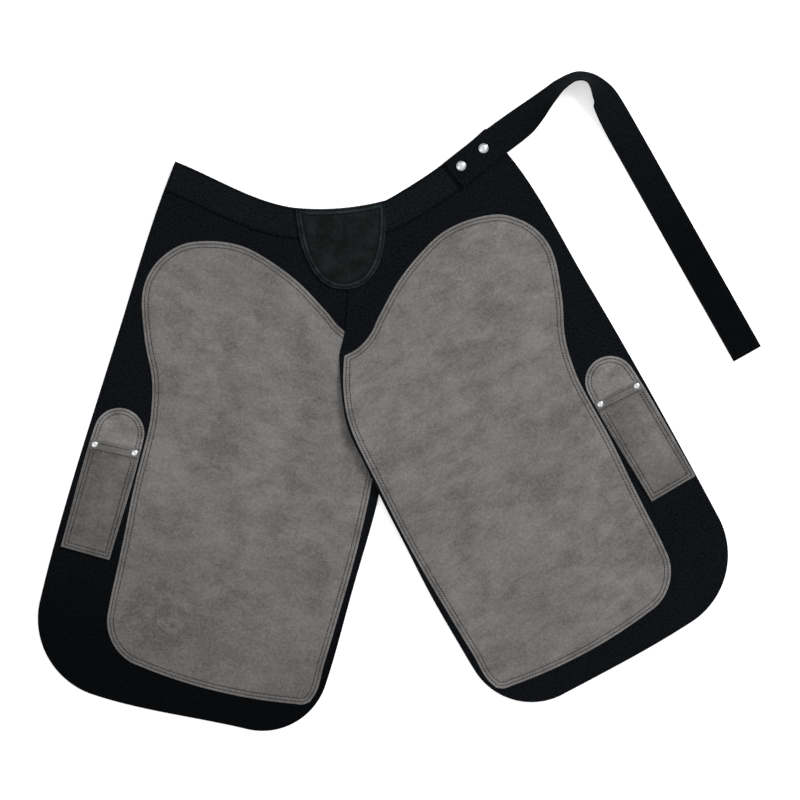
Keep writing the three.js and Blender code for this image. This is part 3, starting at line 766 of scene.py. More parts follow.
def sewn_edge_group():
    """A sewn edge: painted shade along two rows of stitches, a painted highlight on the strip outside them."""
    group, entry, end = shader_group(
        "sewn_edge",
        [("Base", "NodeSocketColor", None), ("Edge distance", "NodeSocketFloat", 1.0),
         ("Outer row", "NodeSocketFloat", SUEDE_ROWS[0]), ("Inner row", "NodeSocketFloat", SUEDE_ROWS[1]),
         ("Row shade", "NodeSocketFloat", 0.8), ("Strip tone", "NodeSocketFloat", 1.1),
         ("Strip width", "NodeSocketFloat", SUEDE_ROWS[0])],
        [("Color", "NodeSocketColor")])
    if entry is None:
        return group
    w = Wiring(group)
    edge = entry.outputs["Edge distance"]
    # Painted shade along each row of stitches; below, a painted highlight on the strip out to the strip width.
    near = [w.spread(w.math("ABSOLUTE", w.math("SUBTRACT", edge, entry.outputs[row])), 0.3 * MM, 1.9 * MM, 1.0, 0.0)
            for row in ("Outer row", "Inner row")]
    darker = w.math("SUBTRACT", entry.outputs["Row shade"], 1.0)
    rows = w.math("MULTIPLY_ADD", w.math("MAXIMUM", *near), darker, 1.0)
    width = entry.outputs["Strip width"]
    rim = w.spread(edge, w.math("SUBTRACT", width, 1.4 * MM), width, 1.0, 0.0)
    strip = w.math("MULTIPLY_ADD", rim, w.math("SUBTRACT", entry.outputs["Strip tone"], 1.0), 1.0)
    tone = w.math("MULTIPLY", rows, strip)
    w.feed(end, {"Color": w.blend(1.0, entry.outputs["Base"], tone, "MULTIPLY")})
    return group


def metal_group():
    """Plated metal: fine polishing marks and small dull spots."""
    group, entry, end = shader_group(
        "plated_metal", [("Place", "NodeSocketVector", None)],
        [("Height", "NodeSocketFloat"), ("Dull", "NodeSocketFloat")])
    if entry is None:
        return group
    w = Wiring(group)
    place = entry.outputs["Place"]
    marks = w.noise(place, 1600.0, 2.0, 0.6)
    spots = w.noise(place, 500.0, 4.0, 0.7)
    w.feed(end, {"Height": marks, "Dull": w.spread(spots, 0.45, 0.75)})
    return group


# ---------------------------------------------------------------- finishes


def finish_start(name):
    """A new material with its shader and cloth coordinates, or the one that is there already."""
    if name in bpy.data.materials:
        return bpy.data.materials[name], None, None, None
    material = bpy.data.materials.new(name)
    material.use_nodes = True
    tree = material.node_tree
    shader = tree.nodes["Principled BSDF"]
    w = Wiring(tree)
    place = w.add("ShaderNodeUVMap", uv_map="cloth").outputs[0]
    return material, w, shader, place


def grouped(w, group, inputs):
    """A group placed in a material with its own values."""
    node = w.tree.nodes.new("ShaderNodeGroup")
    node.node_tree = group
    return w.feed(node, inputs)


def raise_bump(w, shader, height, depth):
    """Feeds a height to the shader's normal. depth is in metres."""
    bump = w.add("ShaderNodeBump", {"Height": height, "Distance": depth, "Strength": 1.0})
    w.feed(shader, {"Normal": bump.outputs[0]})


def tinted(colour, factor):
    """A colour made lighter or darker."""
    return (colour[0] * factor, colour[1] * factor, colour[2] * factor, 1.0)


def canvas_finish(name="heavy_canvas", factor=1.0, threads=1150.0, rows=None):
    """Heavy cotton canvas with uneven yarn and a little fading, darkest towards the left hem."""
    material, w, shader, place = finish_start(name)
    if w is None:
        return material
    colour = bpy.context.scene.apron_colours.canvas
    weave = grouped(w, weave_group(), {"Place": place, "Threads per metre": threads, "Unevenness": 0.8})
    fade = w.spread(w.noise(place, 11.0, 4.0, 0.6), 0.35, 0.68)
    base = w.blend(fade, tinted(colour, 0.7 * factor), tinted(colour, 1.25 * factor))
    flecked = w.blend(weave.outputs["Yarn"], tinted(colour, 0.1 * factor), tinted(colour, 2.5 * factor))
    woven = w.blend(0.7, base, flecked)
    down = w.add("ShaderNodeSeparateXYZ", {0: place}).outputs[1]
    hem = w.spread(down, 330 * MM, 560 * MM, 0.0, 0.6)
    darkened = w.blend(hem, woven, tinted(colour, 0.15))
    # Given rows, painted shade is laid along those distances from the edge.
    worked = sewn(w, darkened, rows, 0.3, 1.0) if rows else darkened
    w.feed(shader, {"Base Color": worked, "Roughness": 0.92, "Specular IOR Level": 0.025})
    raise_bump(w, shader, weave.outputs["Height"], 0.25 * MM)
    return material


def sewn(w, base, rows, dark, light, pale=0.0):
    """A colour with the painted shade and highlight of its sewn edge worked in, from the distances in the piece's
    edge coordinates.
    """
    edge = w.add("ShaderNodeSeparateXYZ", {0: w.add("ShaderNodeUVMap", uv_map="edge").outputs[0]}).outputs[0]
    return grouped(w, sewn_edge_group(), {
        "Base": base, "Edge distance": edge, "Outer row": rows[0], "Inner row": rows[1], "Row shade": dark,
        "Strip tone": light, "Strip width": max(pale, rows[0])}).outputs["Color"]


def suede_finish(name="split_suede", factor=1.0, clouds=14.0, stain=0.6, rows=SUEDE_ROWS):
    """Grey split leather with cloudy tone, nap, darker stains, soiling towards the left hem, and painted shade and
    highlight at its sewn edges.
    """
    material, w, shader, place = finish_start(name)
    if w is None:
        return material
    colour = bpy.context.scene.apron_colours.suede
    hide = grouped(w, hide_group(), {"Place": place, "Cloud size": clouds})
    base = w.blend(hide.outputs["Clouds"], tinted(colour, 0.67 * factor), tinted(colour, 1.3 * factor))
    away = w.add("ShaderNodeVectorMath", {0: place, 1: STAIN}, operation="DISTANCE").outputs["Value"]
    blotch = w.spread(w.noise(place, 34.0, 5.0, 0.7), 0.42, 0.6)
    spot = w.math("MULTIPLY", w.spread(away, 20 * MM, 75 * MM, 1.3, 0.0), blotch)
    down = w.add("ShaderNodeSeparateXYZ", {0: place}).outputs[1]
    soil = w.math("ADD", spot, w.spread(down, 300 * MM, 600 * MM, 0.0, 0.5))
    marks = w.math("MULTIPLY_ADD", hide.outputs["Stains"], stain, soil)
    stained = w.blend(marks, base, tinted(colour, 0.48 * factor))
    nap = w.blend(hide.outputs["Nap"], tinted(colour, 0.3 * factor), tinted(colour, 1.75 * factor))
    napped = w.blend(0.32, stained, nap)
    # Painted shade along the rows of stitches, painted highlight on the strip outside them.
    w.feed(shader, {"Base Color": sewn(w, napped, rows, 0.82, 1.1), "Roughness": 0.95, "Specular IOR Level": 0.15,
                    "Sheen Weight": 0.08, "Sheen Roughness": 0.45})
    raise_bump(w, shader, hide.outputs["Height"], 0.7 * MM)
    return material


def leather_finish():
    """Soft black leather, slightly scuffed, with painted shade along its stitches and a painted highlight on its
    edge strip.
    """
    material, w, shader, place = finish_start("patch_leather")
    if w is None:
        return material
    colour = bpy.context.scene.apron_colours.leather
    grain = grouped(w, grain_group(), {"Place": place, "Pebbles per metre": 620.0})
    base = w.blend(grain.outputs["Wear"], tinted(colour, 0.3), tinted(colour, 2.2))
    # Strong painted shade along both rows of stitches and a painted highlight on the raised strip out to 9 mm.
    worked = sewn(w, base, PATCH_ROWS, 0.12, 2.4, 9.0 * MM)
    dulled = w.spread(grain.outputs["Wear"], 0.0, 1.0, 0.5, 0.7)
    w.feed(shader, {"Base Color": worked, "Roughness": dulled, "Specular IOR Level": 0.07})
    raise_bump(w, shader, grain.outputs["Height"], 0.12 * MM)
    return material


def thread_finish():
    """Dark twisted thread."""
    material, w, shader, _ = finish_start("sewing_thread")
    if w is None:
        return material
    colour = bpy.context.scene.apron_colours.thread
    place = w.add("ShaderNodeTexCoord").outputs["Object"]
    twist = w.noise(place, 2500.0, 2.0, 0.6)
    strands = w.blend(twist, tinted(colour, 0.6), tinted(colour, 1.6))
    w.feed(shader, {"Base Color": strands, "Roughness": 0.7, "Specular IOR Level": 0.08})
    raise_bump(w, shader, twist, 0.1 * MM)
    return material


def steel_finish():
    """Bright plated steel."""
    material, w, shader, place = finish_start("plated_steel")
    if w is None:
        return material
    colour = bpy.context.scene.apron_colours.steel
    plate = grouped(w, metal_group(), {"Place": place})
    base = w.blend(plate.outputs["Dull"], tinted(colour, 1.0), tinted(colour, 0.82))
    dulled = w.spread(plate.outputs["Dull"], 0.0, 1.0, 0.16, 0.34)
    w.feed(shader, {"Base Color": base, "Metallic": 1.0, "Roughness": dulled})
    raise_bump(w, shader, plate.outputs["Height"], 0.004 * MM)
    return material


def hook_finish():
    """Nylon tape covered in small hooks."""
    material, w, shader, place = finish_start("hooked_nylon")
    if w is None:
        return material
    colour = bpy.context.scene.apron_colours.canvas
    weave = grouped(w, weave_group(), {"Place": place, "Threads per metre": 720.0, "Unevenness": 0.4})
    # Colour follows the weave's height: painted shade in the dips between threads, with uneven yarn.
    base = w.blend(weave.outputs["Height"], tinted(colour, 0.4), tinted(colour, 1.3))
    w.feed(shader, {"Base Color": base, "Roughness": 0.55})
    raise_bump(w, shader, weave.outputs["Height"], 0.8 * MM)
    return material


# ---------------------------------------------------------------- pieces


def seam_dents(rows, depth):
    """How far rows of stitches press a panel down, and the puckers that they raise beside it."""

    def thickness(x, y, d):
        """The panel's change of thickness at a distance from its edge."""
        dent = sum(bell(d - row, 1.5 * MM) for row in rows)
        pucker = waver(x, y, 95, 95, 4.1) * bell(d - 6 * MM, 9 * MM)
        return -depth * min(1.0, dent) + 0.5 * MM * pucker

    return thickness


def settle(piece, body, node, area=None):
    """Hangs a sheet on one body and hides the frame node that it stands for; area is not used."""
    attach(piece, body)
    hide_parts(node)


def stitch_on(body, name, rows, keep=None):
    """Stitching that goes with one body."""
    threads = stitching(name, rows, keep)
    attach(threads, body)


def build_canvas(half):
    """One canvas half. Its thickness has the puckers of its hem, and no rows of stitches of its own."""
    loop = rounded(joined_at_fold(f"{half.name}_canvas_yoke", f"{half.name}_canvas_leg"), 6 * MM)
    puckers = seam_dents((), 0)
    piece = cut_sheet(
        f"{half.name}_canvas", loop, lambda x, y: lift(half, x, y),
        lambda x, y, d: CANVAS + 0.4 * puckers(x, y, d), canvas_finish(), half.cloth, 9 * MM,
        rings=(4 * MM, 9 * MM))
    nodes = (f"{half.name}_canvas_yoke", f"{half.name}_canvas_leg")
    finish_halves(piece, half, nodes, cut_area(loop))


def finish_halves(piece, half, nodes, area):
    """Bakes a sheet that crosses the fold line, cut in two there on the right half, and hides the frame nodes that
    it stands for; area is not used.
    """
    name = piece.name
    if half is LEFT:
        over_fold(piece)
        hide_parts(*nodes)
    else:
        upper, lower = parted_at_fold(piece, name + "_upper", name + "_lower")
        upper_of_right(upper)
        lower_of_right(lower)
        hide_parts(nodes[0])
        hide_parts(nodes[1])


def stitch_half(half, name, rows, keep=None):
    """Stitching on a half, baked as the half's cloth is and cut at the fold line on the right half."""
    if half is LEFT:
        threads = stitching(name, rows, keep)
        over_fold(threads)
        return
    for part, test, move in (("upper", lambda p: p.y >= FOLD_Y, upper_of_right),
                             ("lower", lambda p: p.y < FOLD_Y, lower_of_right)):
        threads = stitching(f"{name}_{part}", rows, lambda p, test=test: test(p) and (keep is None or keep(p)))
        move(threads)


def hide_creases(half, x, y):
    """Shallow creases across the top of the left panel, where the hide was folded."""
    if half is RIGHT:
        return 0.0
    u, w = half.local(x, y)
    fold = noise.noise(Vector((u * 9, w * 46 + 3 * noise.noise(Vector((u * 12, w * 8, 2))), 5.5)))
    return 0.5 * MM * fold * smooth((60 * MM - w) / (90 * MM))


def build_suede(half):
    """One suede leg panel and its double row of stitching."""
    loop = rounded(joined_at_fold(f"{half.name}_suede_hip", f"{half.name}_suede_leg"), 4 * MM)
    tree = edge_tree(loop)
    dents = seam_dents(SUEDE_ROWS, 0.7 * MM)

    def bottom(x, y):
        """The panel's underside."""
        return lift(half, x, y) + ON_CANVAS

    def thickness(x, y, d):
        """The panel's thickness."""
        edge = smooth(d / (14 * MM))
        return LEATHER + dents(x, y, d) + edge * max(0.0, hide_creases(half, x, y))

    piece = cut_sheet(
        f"{half.name}_suede", loop, bottom, thickness, suede_finish(), half.cloth, 7 * MM,
        rings=SUEDE_RINGS)
    nodes = (f"{half.name}_suede_hip", f"{half.name}_suede_leg")
    finish_halves(piece, half, nodes, cut_area(loop))

    def face(x, y):
        """The panel's upper face."""
        return bottom(x, y) + thickness(x, y, from_edge(tree, x, y))

    rows = [on_face(seam_line(loop, tree, row), face) for row in SUEDE_ROWS]
    stitch_half(half, f"{half.name}_suede_stitching", rows)


def build_waistband(half):
    """One strip of the waistband, topstitched along both edges."""
    loop = rounded(node_loop(f"{half.name}_waistband"), 5 * MM)
    tree = edge_tree(loop)
    dents = seam_dents((BAND_ROW,), 0.4 * MM)

    def bottom(x, y):
        """The strip's underside."""
        return lift(half, x, y) + ON_CANVAS

    def thickness(x, y, d):
        """The strip's thickness."""
        return BAND + dents(x, y, d)

    # Painted shadow line along the strip's edges, and painted shade along its row of stitches.
    finish = canvas_finish("band_canvas", 1.3, rows=(0.2 * MM, BAND_ROW))
    piece = cut_sheet(f"{half.name}_band", loop, bottom, thickness, finish, half.cloth, 7 * MM, rings=BAND_RINGS)
    settle(piece, "waist", f"{half.name}_waistband", round(cut_area(loop), 4))
    line = on_face(seam_line(loop, tree, BAND_ROW), lambda x, y: bottom(x, y) + thickness(x, y, BAND_ROW))
    low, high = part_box("centre_patch")
    stitch_on("waist", f"{half.name}_band_stitching", [line], lambda p: not low[0] < p.x < high[0])


def patch_base(x, y):
    """The underside of the patch, which drops off the waistband's lower edge."""
    low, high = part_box("centre_patch")
    on_band = smooth((y - (high[1] - 62 * MM)) / (14 * MM))
    return low[2] - PATCH_FALL * (1 - on_band) + drape(x, y)


def build_patch():
    """The leather patch over the middle of the waistband, with its creases and double stitching."""
    loop = rounded(node_loop("centre_patch"), 4 * MM)
    tree = edge_tree(loop)
    dents = seam_dents(PATCH_ROWS, 0.95 * MM)
    middle = box_middle("centre_patch")[0]

    def thickness(x, y, d):
        """The patch's thickness."""
        inner = smooth((d - 10 * MM) / (8 * MM))
        wander = 5 * MM * noise.noise(Vector((0.3, y * 22, 1.1)))
        creases = bell(x - middle + wander - 1 * MM, 3.5 * MM) + 0.7 * bell(x - middle - 17 * MM - wander, 3 * MM)
        creases += 0.6 * bell(x - middle + 22 * MM - 0.6 * wander, 4 * MM)
        soft = waver(x, y, 38, 20, 6)
        ridge = 0.6 * MM * bell(d - 6.3 * MM, 2 * MM)
        return PATCH + dents(x, y, d) + ridge + inner * (0.8 * MM * soft - 0.9 * MM * creases)

    piece = cut_sheet(
        "patch", loop, patch_base, thickness, leather_finish(), lambda x, y: (x, y), 3.5 * MM,
        rings=PATCH_RINGS)
    settle(piece, "waist", "centre_patch", round(cut_area(loop), 4))

    def face(x, y):
        """The patch's upper face."""
        return patch_base(x, y) + thickness(x, y, from_edge(tree, x, y))

    stitch_on("waist", "patch_stitching", [on_face(seam_line(loop, tree, row), face) for row in PATCH_ROWS])


def build_centre_seam():
    """The topstitching that holds the right half over the left one below the patch."""
    x = CROTCH[0] + 17 * MM
    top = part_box("centre_patch")[0][1] - 1 * MM
    line = [(x, top + (FOLD_Y + 40 * MM - top) * k / 24) for k in range(25)]
    row = on_face(line, lambda px, py: lift(RIGHT, px, py) + CANVAS)
    stitch_on("waist", "centre_seam_stitching", [row])


def build_hook_tape():
    """The hook tape on the back of the left waist end."""
    loop = rounded(node_loop("hook_tape"), 4 * MM)
    tree = edge_tree(loop)
    piece = cut_sheet(
        "hook_strip", loop, lambda x, y: 0.0, lambda x, y, d: HOOK_TAPE, hook_finish(), LEFT.cloth, 6 * MM,
        rings=(3 * MM,))
    settle(piece, "waist", "hook_tape")
    line = [(Vector((p.x, p.y, 0.0003)), Vector((0, 0, -1))) for p in seam_line(loop, tree, HOOK_ROW)]
    stitch_on("waist", "hook_strip_stitching", [line])


def pocket_room(u, w):
    """How far a pocket's front stands off its back."""
    sides = min(smooth((u - POCKET_INNER - 11 * MM) / (17 * MM)), smooth((POCKET_OUTER - 11 * MM - u) / (17 * MM)))
    return POCKET_ROOM * sides * smooth((POCKET_FOOT - 9 * MM - w) / (26 * MM))


def mouth_at(u):
    """Where a pocket's mouth is, down the leg."""
    return MOUTH + MOUTH_SLANT * ((u - POCKET_INNER) / (POCKET_OUTER - POCKET_INNER) - 0.5)


def build_pocket_back(half):
    """A knife pocket's back, with its round top and the stitching round that."""
    loop = rounded(node_loop(f"{half.name}_pocket_back"), 4 * MM)
    tree = edge_tree(loop)
    dents = seam_dents(POCKET_ROWS, 0.45 * MM)

    def back_bottom(x, y):
        """The back panel's underside."""
        return lift(half, x, y) + ON_CANVAS

    def back_thickness(x, y, d):
        """The back panel's thickness."""
        return LEATHER + (dents(x, y, d) if half.local(x, y)[1] < MOUTH else 0.0)

    back = cut_sheet(
        f"{half.name}_pocket_backing", loop, back_bottom, back_thickness,
        suede_finish("pocket_suede", 1.16, 22.0, 0.2, POCKET_ROWS), half.cloth, 6 * MM, rings=POCKET_RINGS)
    settle(back, f"{half.name}_leg", f"{half.name}_pocket_back")

    def face(x, y):
        """The back panel's upper face."""
        return back_bottom(x, y) + back_thickness(x, y, from_edge(tree, x, y))

    def clear(p):
        """True above the mouth, where the front panel doesn't cover the stitches."""
        u, w = half.local(p.x, p.y)
        return w < mouth_at(u) - 1 * MM

    arch = [on_face(seam_line(loop, tree, row), face) for row in POCKET_ROWS]
    stitch_on(f"{half.name}_leg", f"{half.name}_pocket_back_stitching", arch, clear)


def build_pocket_front(half):
    """A knife pocket's front, with its folded mouth and the stitching down its sides and across."""
    dents = seam_dents(POCKET_ROWS, 0.45 * MM)
    front_loop = rounded(node_loop(f"{half.name}_pocket_front"), 3.5 * MM)
    front_tree = edge_tree(front_loop)

    def front_bottom(x, y):
        """The front panel's underside."""
        u, w = half.local(x, y)
        return lift(half, x, y) + PANEL_TOP + GAP + pocket_room(u, w)

    def front_thickness(x, y, d):
        """The front panel's thickness, doubled where its mouth is folded back."""
        u, w = half.local(x, y)
        down = w - mouth_at(u)
        if down < 0.6 * MM:
            return LEATHER
        hem = 1.5 * MM * (1 - smooth((down - MOUTH_HEM + 1 * MM) / (1.6 * MM)))
        crease = 0.5 * MM * (bell(down - MOUTH_HEM + 3.2 * MM, 1.2 * MM) + 0.6 * bell(down - 3.4 * MM, 1.2 * MM))
        side = min(u - POCKET_INNER, POCKET_OUTER - u, POCKET_FOOT - w)
        seams = 0.0 if down < MOUTH_HEM else dents(x, y, side)
        return LEATHER + hem - crease + seams

    def mark(x, y):
        """The distance from the nearest sewn edge; the folded mouth gets a painted highlight along its band and a
        painted shadow along its fold.
        """
        u, w = half.local(x, y)
        down = w - mouth_at(u)
        if down < MOUTH_HEM - 1 * MM:
            return 3.9 * MM - 1.8 * MM * smooth((MOUTH_HEM - 3.4 * MM - down) / (2 * MM))
        return max(2.6 * MM, min(u - POCKET_INNER, POCKET_OUTER - u, POCKET_FOOT - w))

    lines = []
    for down in MOUTH_LINES:
        count = 22
        line = []
        for k in range(count + 1):
            u = POCKET_INNER + (POCKET_OUTER - POCKET_INNER) * k / count
            line.append(Vector(half.world(u, mouth_at(u) + down * MM)))
        lines.append(line)
    front = cut_sheet(
        f"{half.name}_pocket_panel", front_loop, front_bottom, front_thickness,
        suede_finish(f"{half.name}_pocket_suede", POCKET_TONE[half.name], 18.0, 0.4, POCKET_ROWS), half.cloth,
        4.5 * MM, rings=POCKET_RINGS, lines=lines, mark=mark)
    settle(front, f"{half.name}_leg", f"{half.name}_pocket_front")

    def face(x, y):
        """The front panel's upper face."""
        return front_bottom(x, y) + front_thickness(x, y, from_edge(front_tree, x, y))

    seams = []
    for row in POCKET_ROWS:
        inner, outer, foot = POCKET_INNER + row, POCKET_OUTER - row, POCKET_FOOT - row
        start = MOUTH + MOUTH_HEM + 1 * MM
        path = [half.world(inner, start + (foot - start) * k / 30) for k in range(30)]
        path += [half.world(inner + (outer - inner) * k / 14, foot) for k in range(14)]
        path += [half.world(outer, foot + (start - foot) * k / 30) for k in range(31)]
        seams.append(on_face(path, face))
    across = [POCKET_INNER + 3 * MM + (POCKET_OUTER - POCKET_INNER - 6 * MM) * k / 20 for k in range(21)]
    for down in MOUTH_STITCHES:
        seams.append(on_face([half.world(u, mouth_at(u) + down) for u in across], face))
    rivets = [box_middle(f"{half.name}_rivet_cap_{place}") for place in ("inner", "outer")]
    stitch_on(
        f"{half.name}_leg", f"{half.name}_pocket_front_stitching", seams,
        lambda p: all(math.dist((p.x, p.y), r[:2]) > RIVET_CLEAR for r in rivets))


DOME = [(0.30, 0.0), (0.93, 0.0), (0.99, 0.05), (1.0, 0.14), (0.99, 0.24), (0.96, 0.31), (0.91, 0.37), (0.87, 0.42),
        (0.82, 0.52), (0.74, 0.66), (0.63, 0.79), (0.5, 0.89), (0.35, 0.955), (0.18, 0.99), (0.05, 1.0)]
BASE = [(0.2, 0.0), (0.9, 0.0), (0.985, 0.04), (1.0, 0.1), (0.98, 0.155), (0.9, 0.17), (0.34, 0.18), (0.315, 0.2),
        (0.315, 0.97), (0.29, 1.0)]
RING = [(0.36, 0.0), (0.93, 0.0), (0.99, 0.04), (1.0, 0.12), (0.98, 0.2), (0.9, 0.24), (0.6, 0.26), (0.54, 0.3),
        (0.54, 0.9), (0.5, 0.98), (0.4, 1.0), (0.1, 1.0)]


def build_rivets():
    """The pockets' four rivets: a base and shank behind, a dome in front."""
    for side in ("left", "right"):
        for place in ("inner", "outer"):
            for kind, profile in (("post", BASE), ("cap", DOME)):
                node = f"{side}_rivet_{kind}_{place}"
                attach(turned(node + "_turned", node, profile, steel_finish()), f"{side}_leg")


def build_studs():
    """Both press studs: the posts and studs stay on the waistband, the sockets and caps go with the strap."""
    for i in (1, 2):
        for kind, profile, body in (("stud_post", BASE, "waist"), ("stud", RING, "waist"),
                                    ("stud_socket", RING, "strap"), ("stud_cap", None, "strap")):
            node = f"{kind}_{i}"
            if profile is None:
                low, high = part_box(node)
                base = 1 - 2.8 * MM / (high[2] - low[2])
                profile = [(0.2, 0.0), (0.2, base)] + [(r, base + (1 - base) * z) for r, z in DOME[1:]]
            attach(turned(node + "_turned", node, profile, steel_finish()), body)


def route_value(channel, station):
    """A smooth value between the strap's stations."""
    last = len(STRAP_ROUTE) - 1
    i = min(last - 1, max(0, int(station)))
    t = station - i
    p = [STRAP_ROUTE[min(last, max(0, k))][channel] for k in (i - 1, i, i + 1, i + 2)]
    v0, v1 = (p[2] - p[0]) / 2, (p[3] - p[1]) / 2
    return ((2 * p[1] - 2 * p[2] + v0 + v1) * t ** 3 + (3 * p[2] - 3 * p[1] - 2 * v0 - v1) * t ** 2 + v0 * t + p[1])


def strap_axes(station):
    """The strap's lower edge, the way across it to the upper edge, and its outer face's direction."""
    x, y, z, tip = (route_value(k, station) for k in range(4))
    ahead = [route_value(k, min(len(STRAP_ROUTE) - 1, station + STATION_STEP)) for k in (0, 1)]
    behind = [route_value(k, max(0, station - STATION_STEP)) for k in (0, 1)]
    way = Vector((ahead[0] - behind[0], ahead[1] - behind[1])).normalized()
    c, s = math.cos(math.radians(tip)), math.sin(math.radians(tip))
    edge = Vector((CROTCH[0] + x * MM, CROTCH[1] + y * MM, max(0.0, z) * MM))
    return edge, Vector((way.y * c, -way.x * c, s)), Vector((-way.y * s, way.x * s, c))


def strap_point(station, share, rise):
    """A place on the strap: share across it, rise through it."""
    edge, over, face = strap_axes(station)
    tip = route_value(3, station) / MOST_TIPPED
    cup = 1.2 * MM * tip * math.sin(math.pi * share)
    sway = 0.35 * MM * noise.noise(Vector((station * 1.7, share * 1.5, 3.3))) * smooth((station - 3) / 2)
    point = edge + over * STRAP_WIDTH * share + face * (rise * STRAP_THICK - cup + sway)
    return Vector((point.x, point.y, max(0.0, point.z)))


def build_strap():
    """The strap, from its hemmed end on the studs round its bend to the free end."""
    last = len(STRAP_ROUTE) - 1
    stations = [0.0]
    while stations[-1] < last:
        here = strap_axes(stations[-1])[0]
        ahead = strap_axes(min(last, stations[-1] + STATION_STEP))[0]
        step = STATION_STEP * 3.6 * MM / max(1e-6, (ahead - here).length)
        stations.append(min(last, stations[-1] + step))
    across = len(STRAP_SHARES)
    length = 0.0
    verts, uvs = [], []
    before = None
    for station in stations:
        middle = strap_point(station, 0.5, 0.5)
        length += (middle - before).length if before else 0.0
        before = middle
        hem = bell(length - 5.5 * MM, 1.0 * MM)
        for rise in (0, 1):
            for share in STRAP_SHARES:
                d = min(share, 1 - share) * STRAP_WIDTH
                soft = 1 - 0.3 * bell(d - STRAP_ROW, 0.9 * MM) - 0.3 * hem
                edge = min(1.0, 0.35 + d / (1.1 * MM))
                level = 0.5 + (soft - 0.5) * edge if rise else 0.5 - 0.5 * edge
                verts.append(strap_point(station, share, level))
                uvs.append((share * STRAP_WIDTH, length))
    faces = []
    for i in range(len(stations) - 1):
        a, b = i * 2 * across, (i + 1) * 2 * across
        for k in range(across - 1):
            faces.append((a + across + k, b + across + k, b + across + k + 1, a + across + k + 1))
            faces.append((a + k, a + k + 1, b + k + 1, b + k))
        faces.append((a, b, b + across, a + across))
        faces.append((a + across - 1, a + 2 * across - 1, b + 2 * across - 1, b + across - 1))
    end = (len(stations) - 1) * 2 * across
    for k in range(across - 1):
        faces.append((k, across + k, across + k + 1, k + 1))
        faces.append((end + k, end + k + 1, end + across + k + 1, end + across + k))
    strap = new_object("waist_strap", verts, faces, canvas_finish("strap_canvas", 1.0, 1000.0), uvs)
    bm = bmesh.new()
    bm.from_mesh(strap.data)
    bmesh.ops.recalc_face_normals(bm, faces=bm.faces[:])
    bm.to_mesh(strap.data)
    bm.free()
    swing(strap)
    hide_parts("strap", "strap_free_end")
    rows = []
    for share in (STRAP_ROW / STRAP_WIDTH, 1 - STRAP_ROW / STRAP_WIDTH):
        rows.append([(strap_point(s, share, STRAP_ROW_RISE), strap_axes(s)[2]) for s in stations[1:-1]])
    for station in (0.13, last - 0.06):
        shares = [0.07 + 0.86 * k / 12 for k in range(13)]
        rows.append([(strap_point(station, share, STRAP_ROW_RISE), strap_axes(station)[2]) for share in shares])
    threads = stitching("strap_stitching", rows)
    swing(threads)


def swing(piece):
    """Bakes the strap's place into its mesh."""
    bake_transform(piece)


# ---------------------------------------------------------------- add-on


class ApronSizes(bpy.types.PropertyGroup):
    """Sizes of the sewn details."""

    pitch: bpy.props.FloatProperty(
        name="Stitch length", description="Distance from one stitch to the next", default=4.2 * MM,
        subtype="DISTANCE", unit="LENGTH")
    thread: bpy.props.FloatProperty(
        name="Thread", description="Thickness of the sewing thread", default=1.05 * MM,
        subtype="DISTANCE", unit="LENGTH")
    drape: bpy.props.FloatProperty(
        name="Drape", description="Height of the cloth's broad waves", default=3.0 * MM,
        subtype="DISTANCE", unit="LENGTH")
    ripple: bpy.props.FloatProperty(
        name="Ripple", description="Height of the cloth's small waves", default=0.7 * MM,
        subtype="DISTANCE", unit="LENGTH")
    edge_curl: bpy.props.FloatProperty(
        name="Edge curl", description="How far the right leg's inner edge stands off the left leg",
        default=12.0 * MM, subtype="DISTANCE", unit="LENGTH")


class ApronColours(bpy.types.PropertyGroup):
    """Colours of the materials."""

    canvas: bpy.props.FloatVectorProperty(
        name="Canvas", description="Colour of the canvas and strap", default=(0.0037, 0.0045, 0.0055),
        subtype="COLOR", min=0, max=1)
    suede: bpy.props.FloatVectorProperty(
        name="Suede", description="Colour of the suede panels", default=(0.148, 0.142, 0.137),
        subtype="COLOR", min=0, max=1)
    leather: bpy.props.FloatVectorProperty(
        name="Leather", description="Colour of the centre patch", default=(0.0040, 0.0054, 0.0057),
        subtype="COLOR", min=0, max=1)
    thread: bpy.props.FloatVectorProperty(
        name="Thread", description="Colour of the sewing thread", default=(0.006, 0.0065, 0.008),
        subtype="COLOR", min=0, max=1)
    steel: bpy.props.FloatVectorProperty(
        name="Steel", description="Colour of the rivets and press studs", default=(0.74, 0.75, 0.76),
        subtype="COLOR", min=0, max=1)
    floor: bpy.props.FloatVectorProperty(
        name="Floor", description="Colour of the floor", default=(0.93, 0.93, 0.93),
        subtype="COLOR", min=0, max=1)


FLOOR_REACH = 6.0
FLOOR_LEVEL = -0.0006  # just clear of the threads under the hook tape
CAMERA_OFFSET = (0.0008, 0.0014, 8.0)
LIGHTS = (("key_light", (1.9, 1.7, 2.5), 1.3, 82.0), ("fill_light", (-2.2, -1.2, 2.8), 2.6, 16.0))


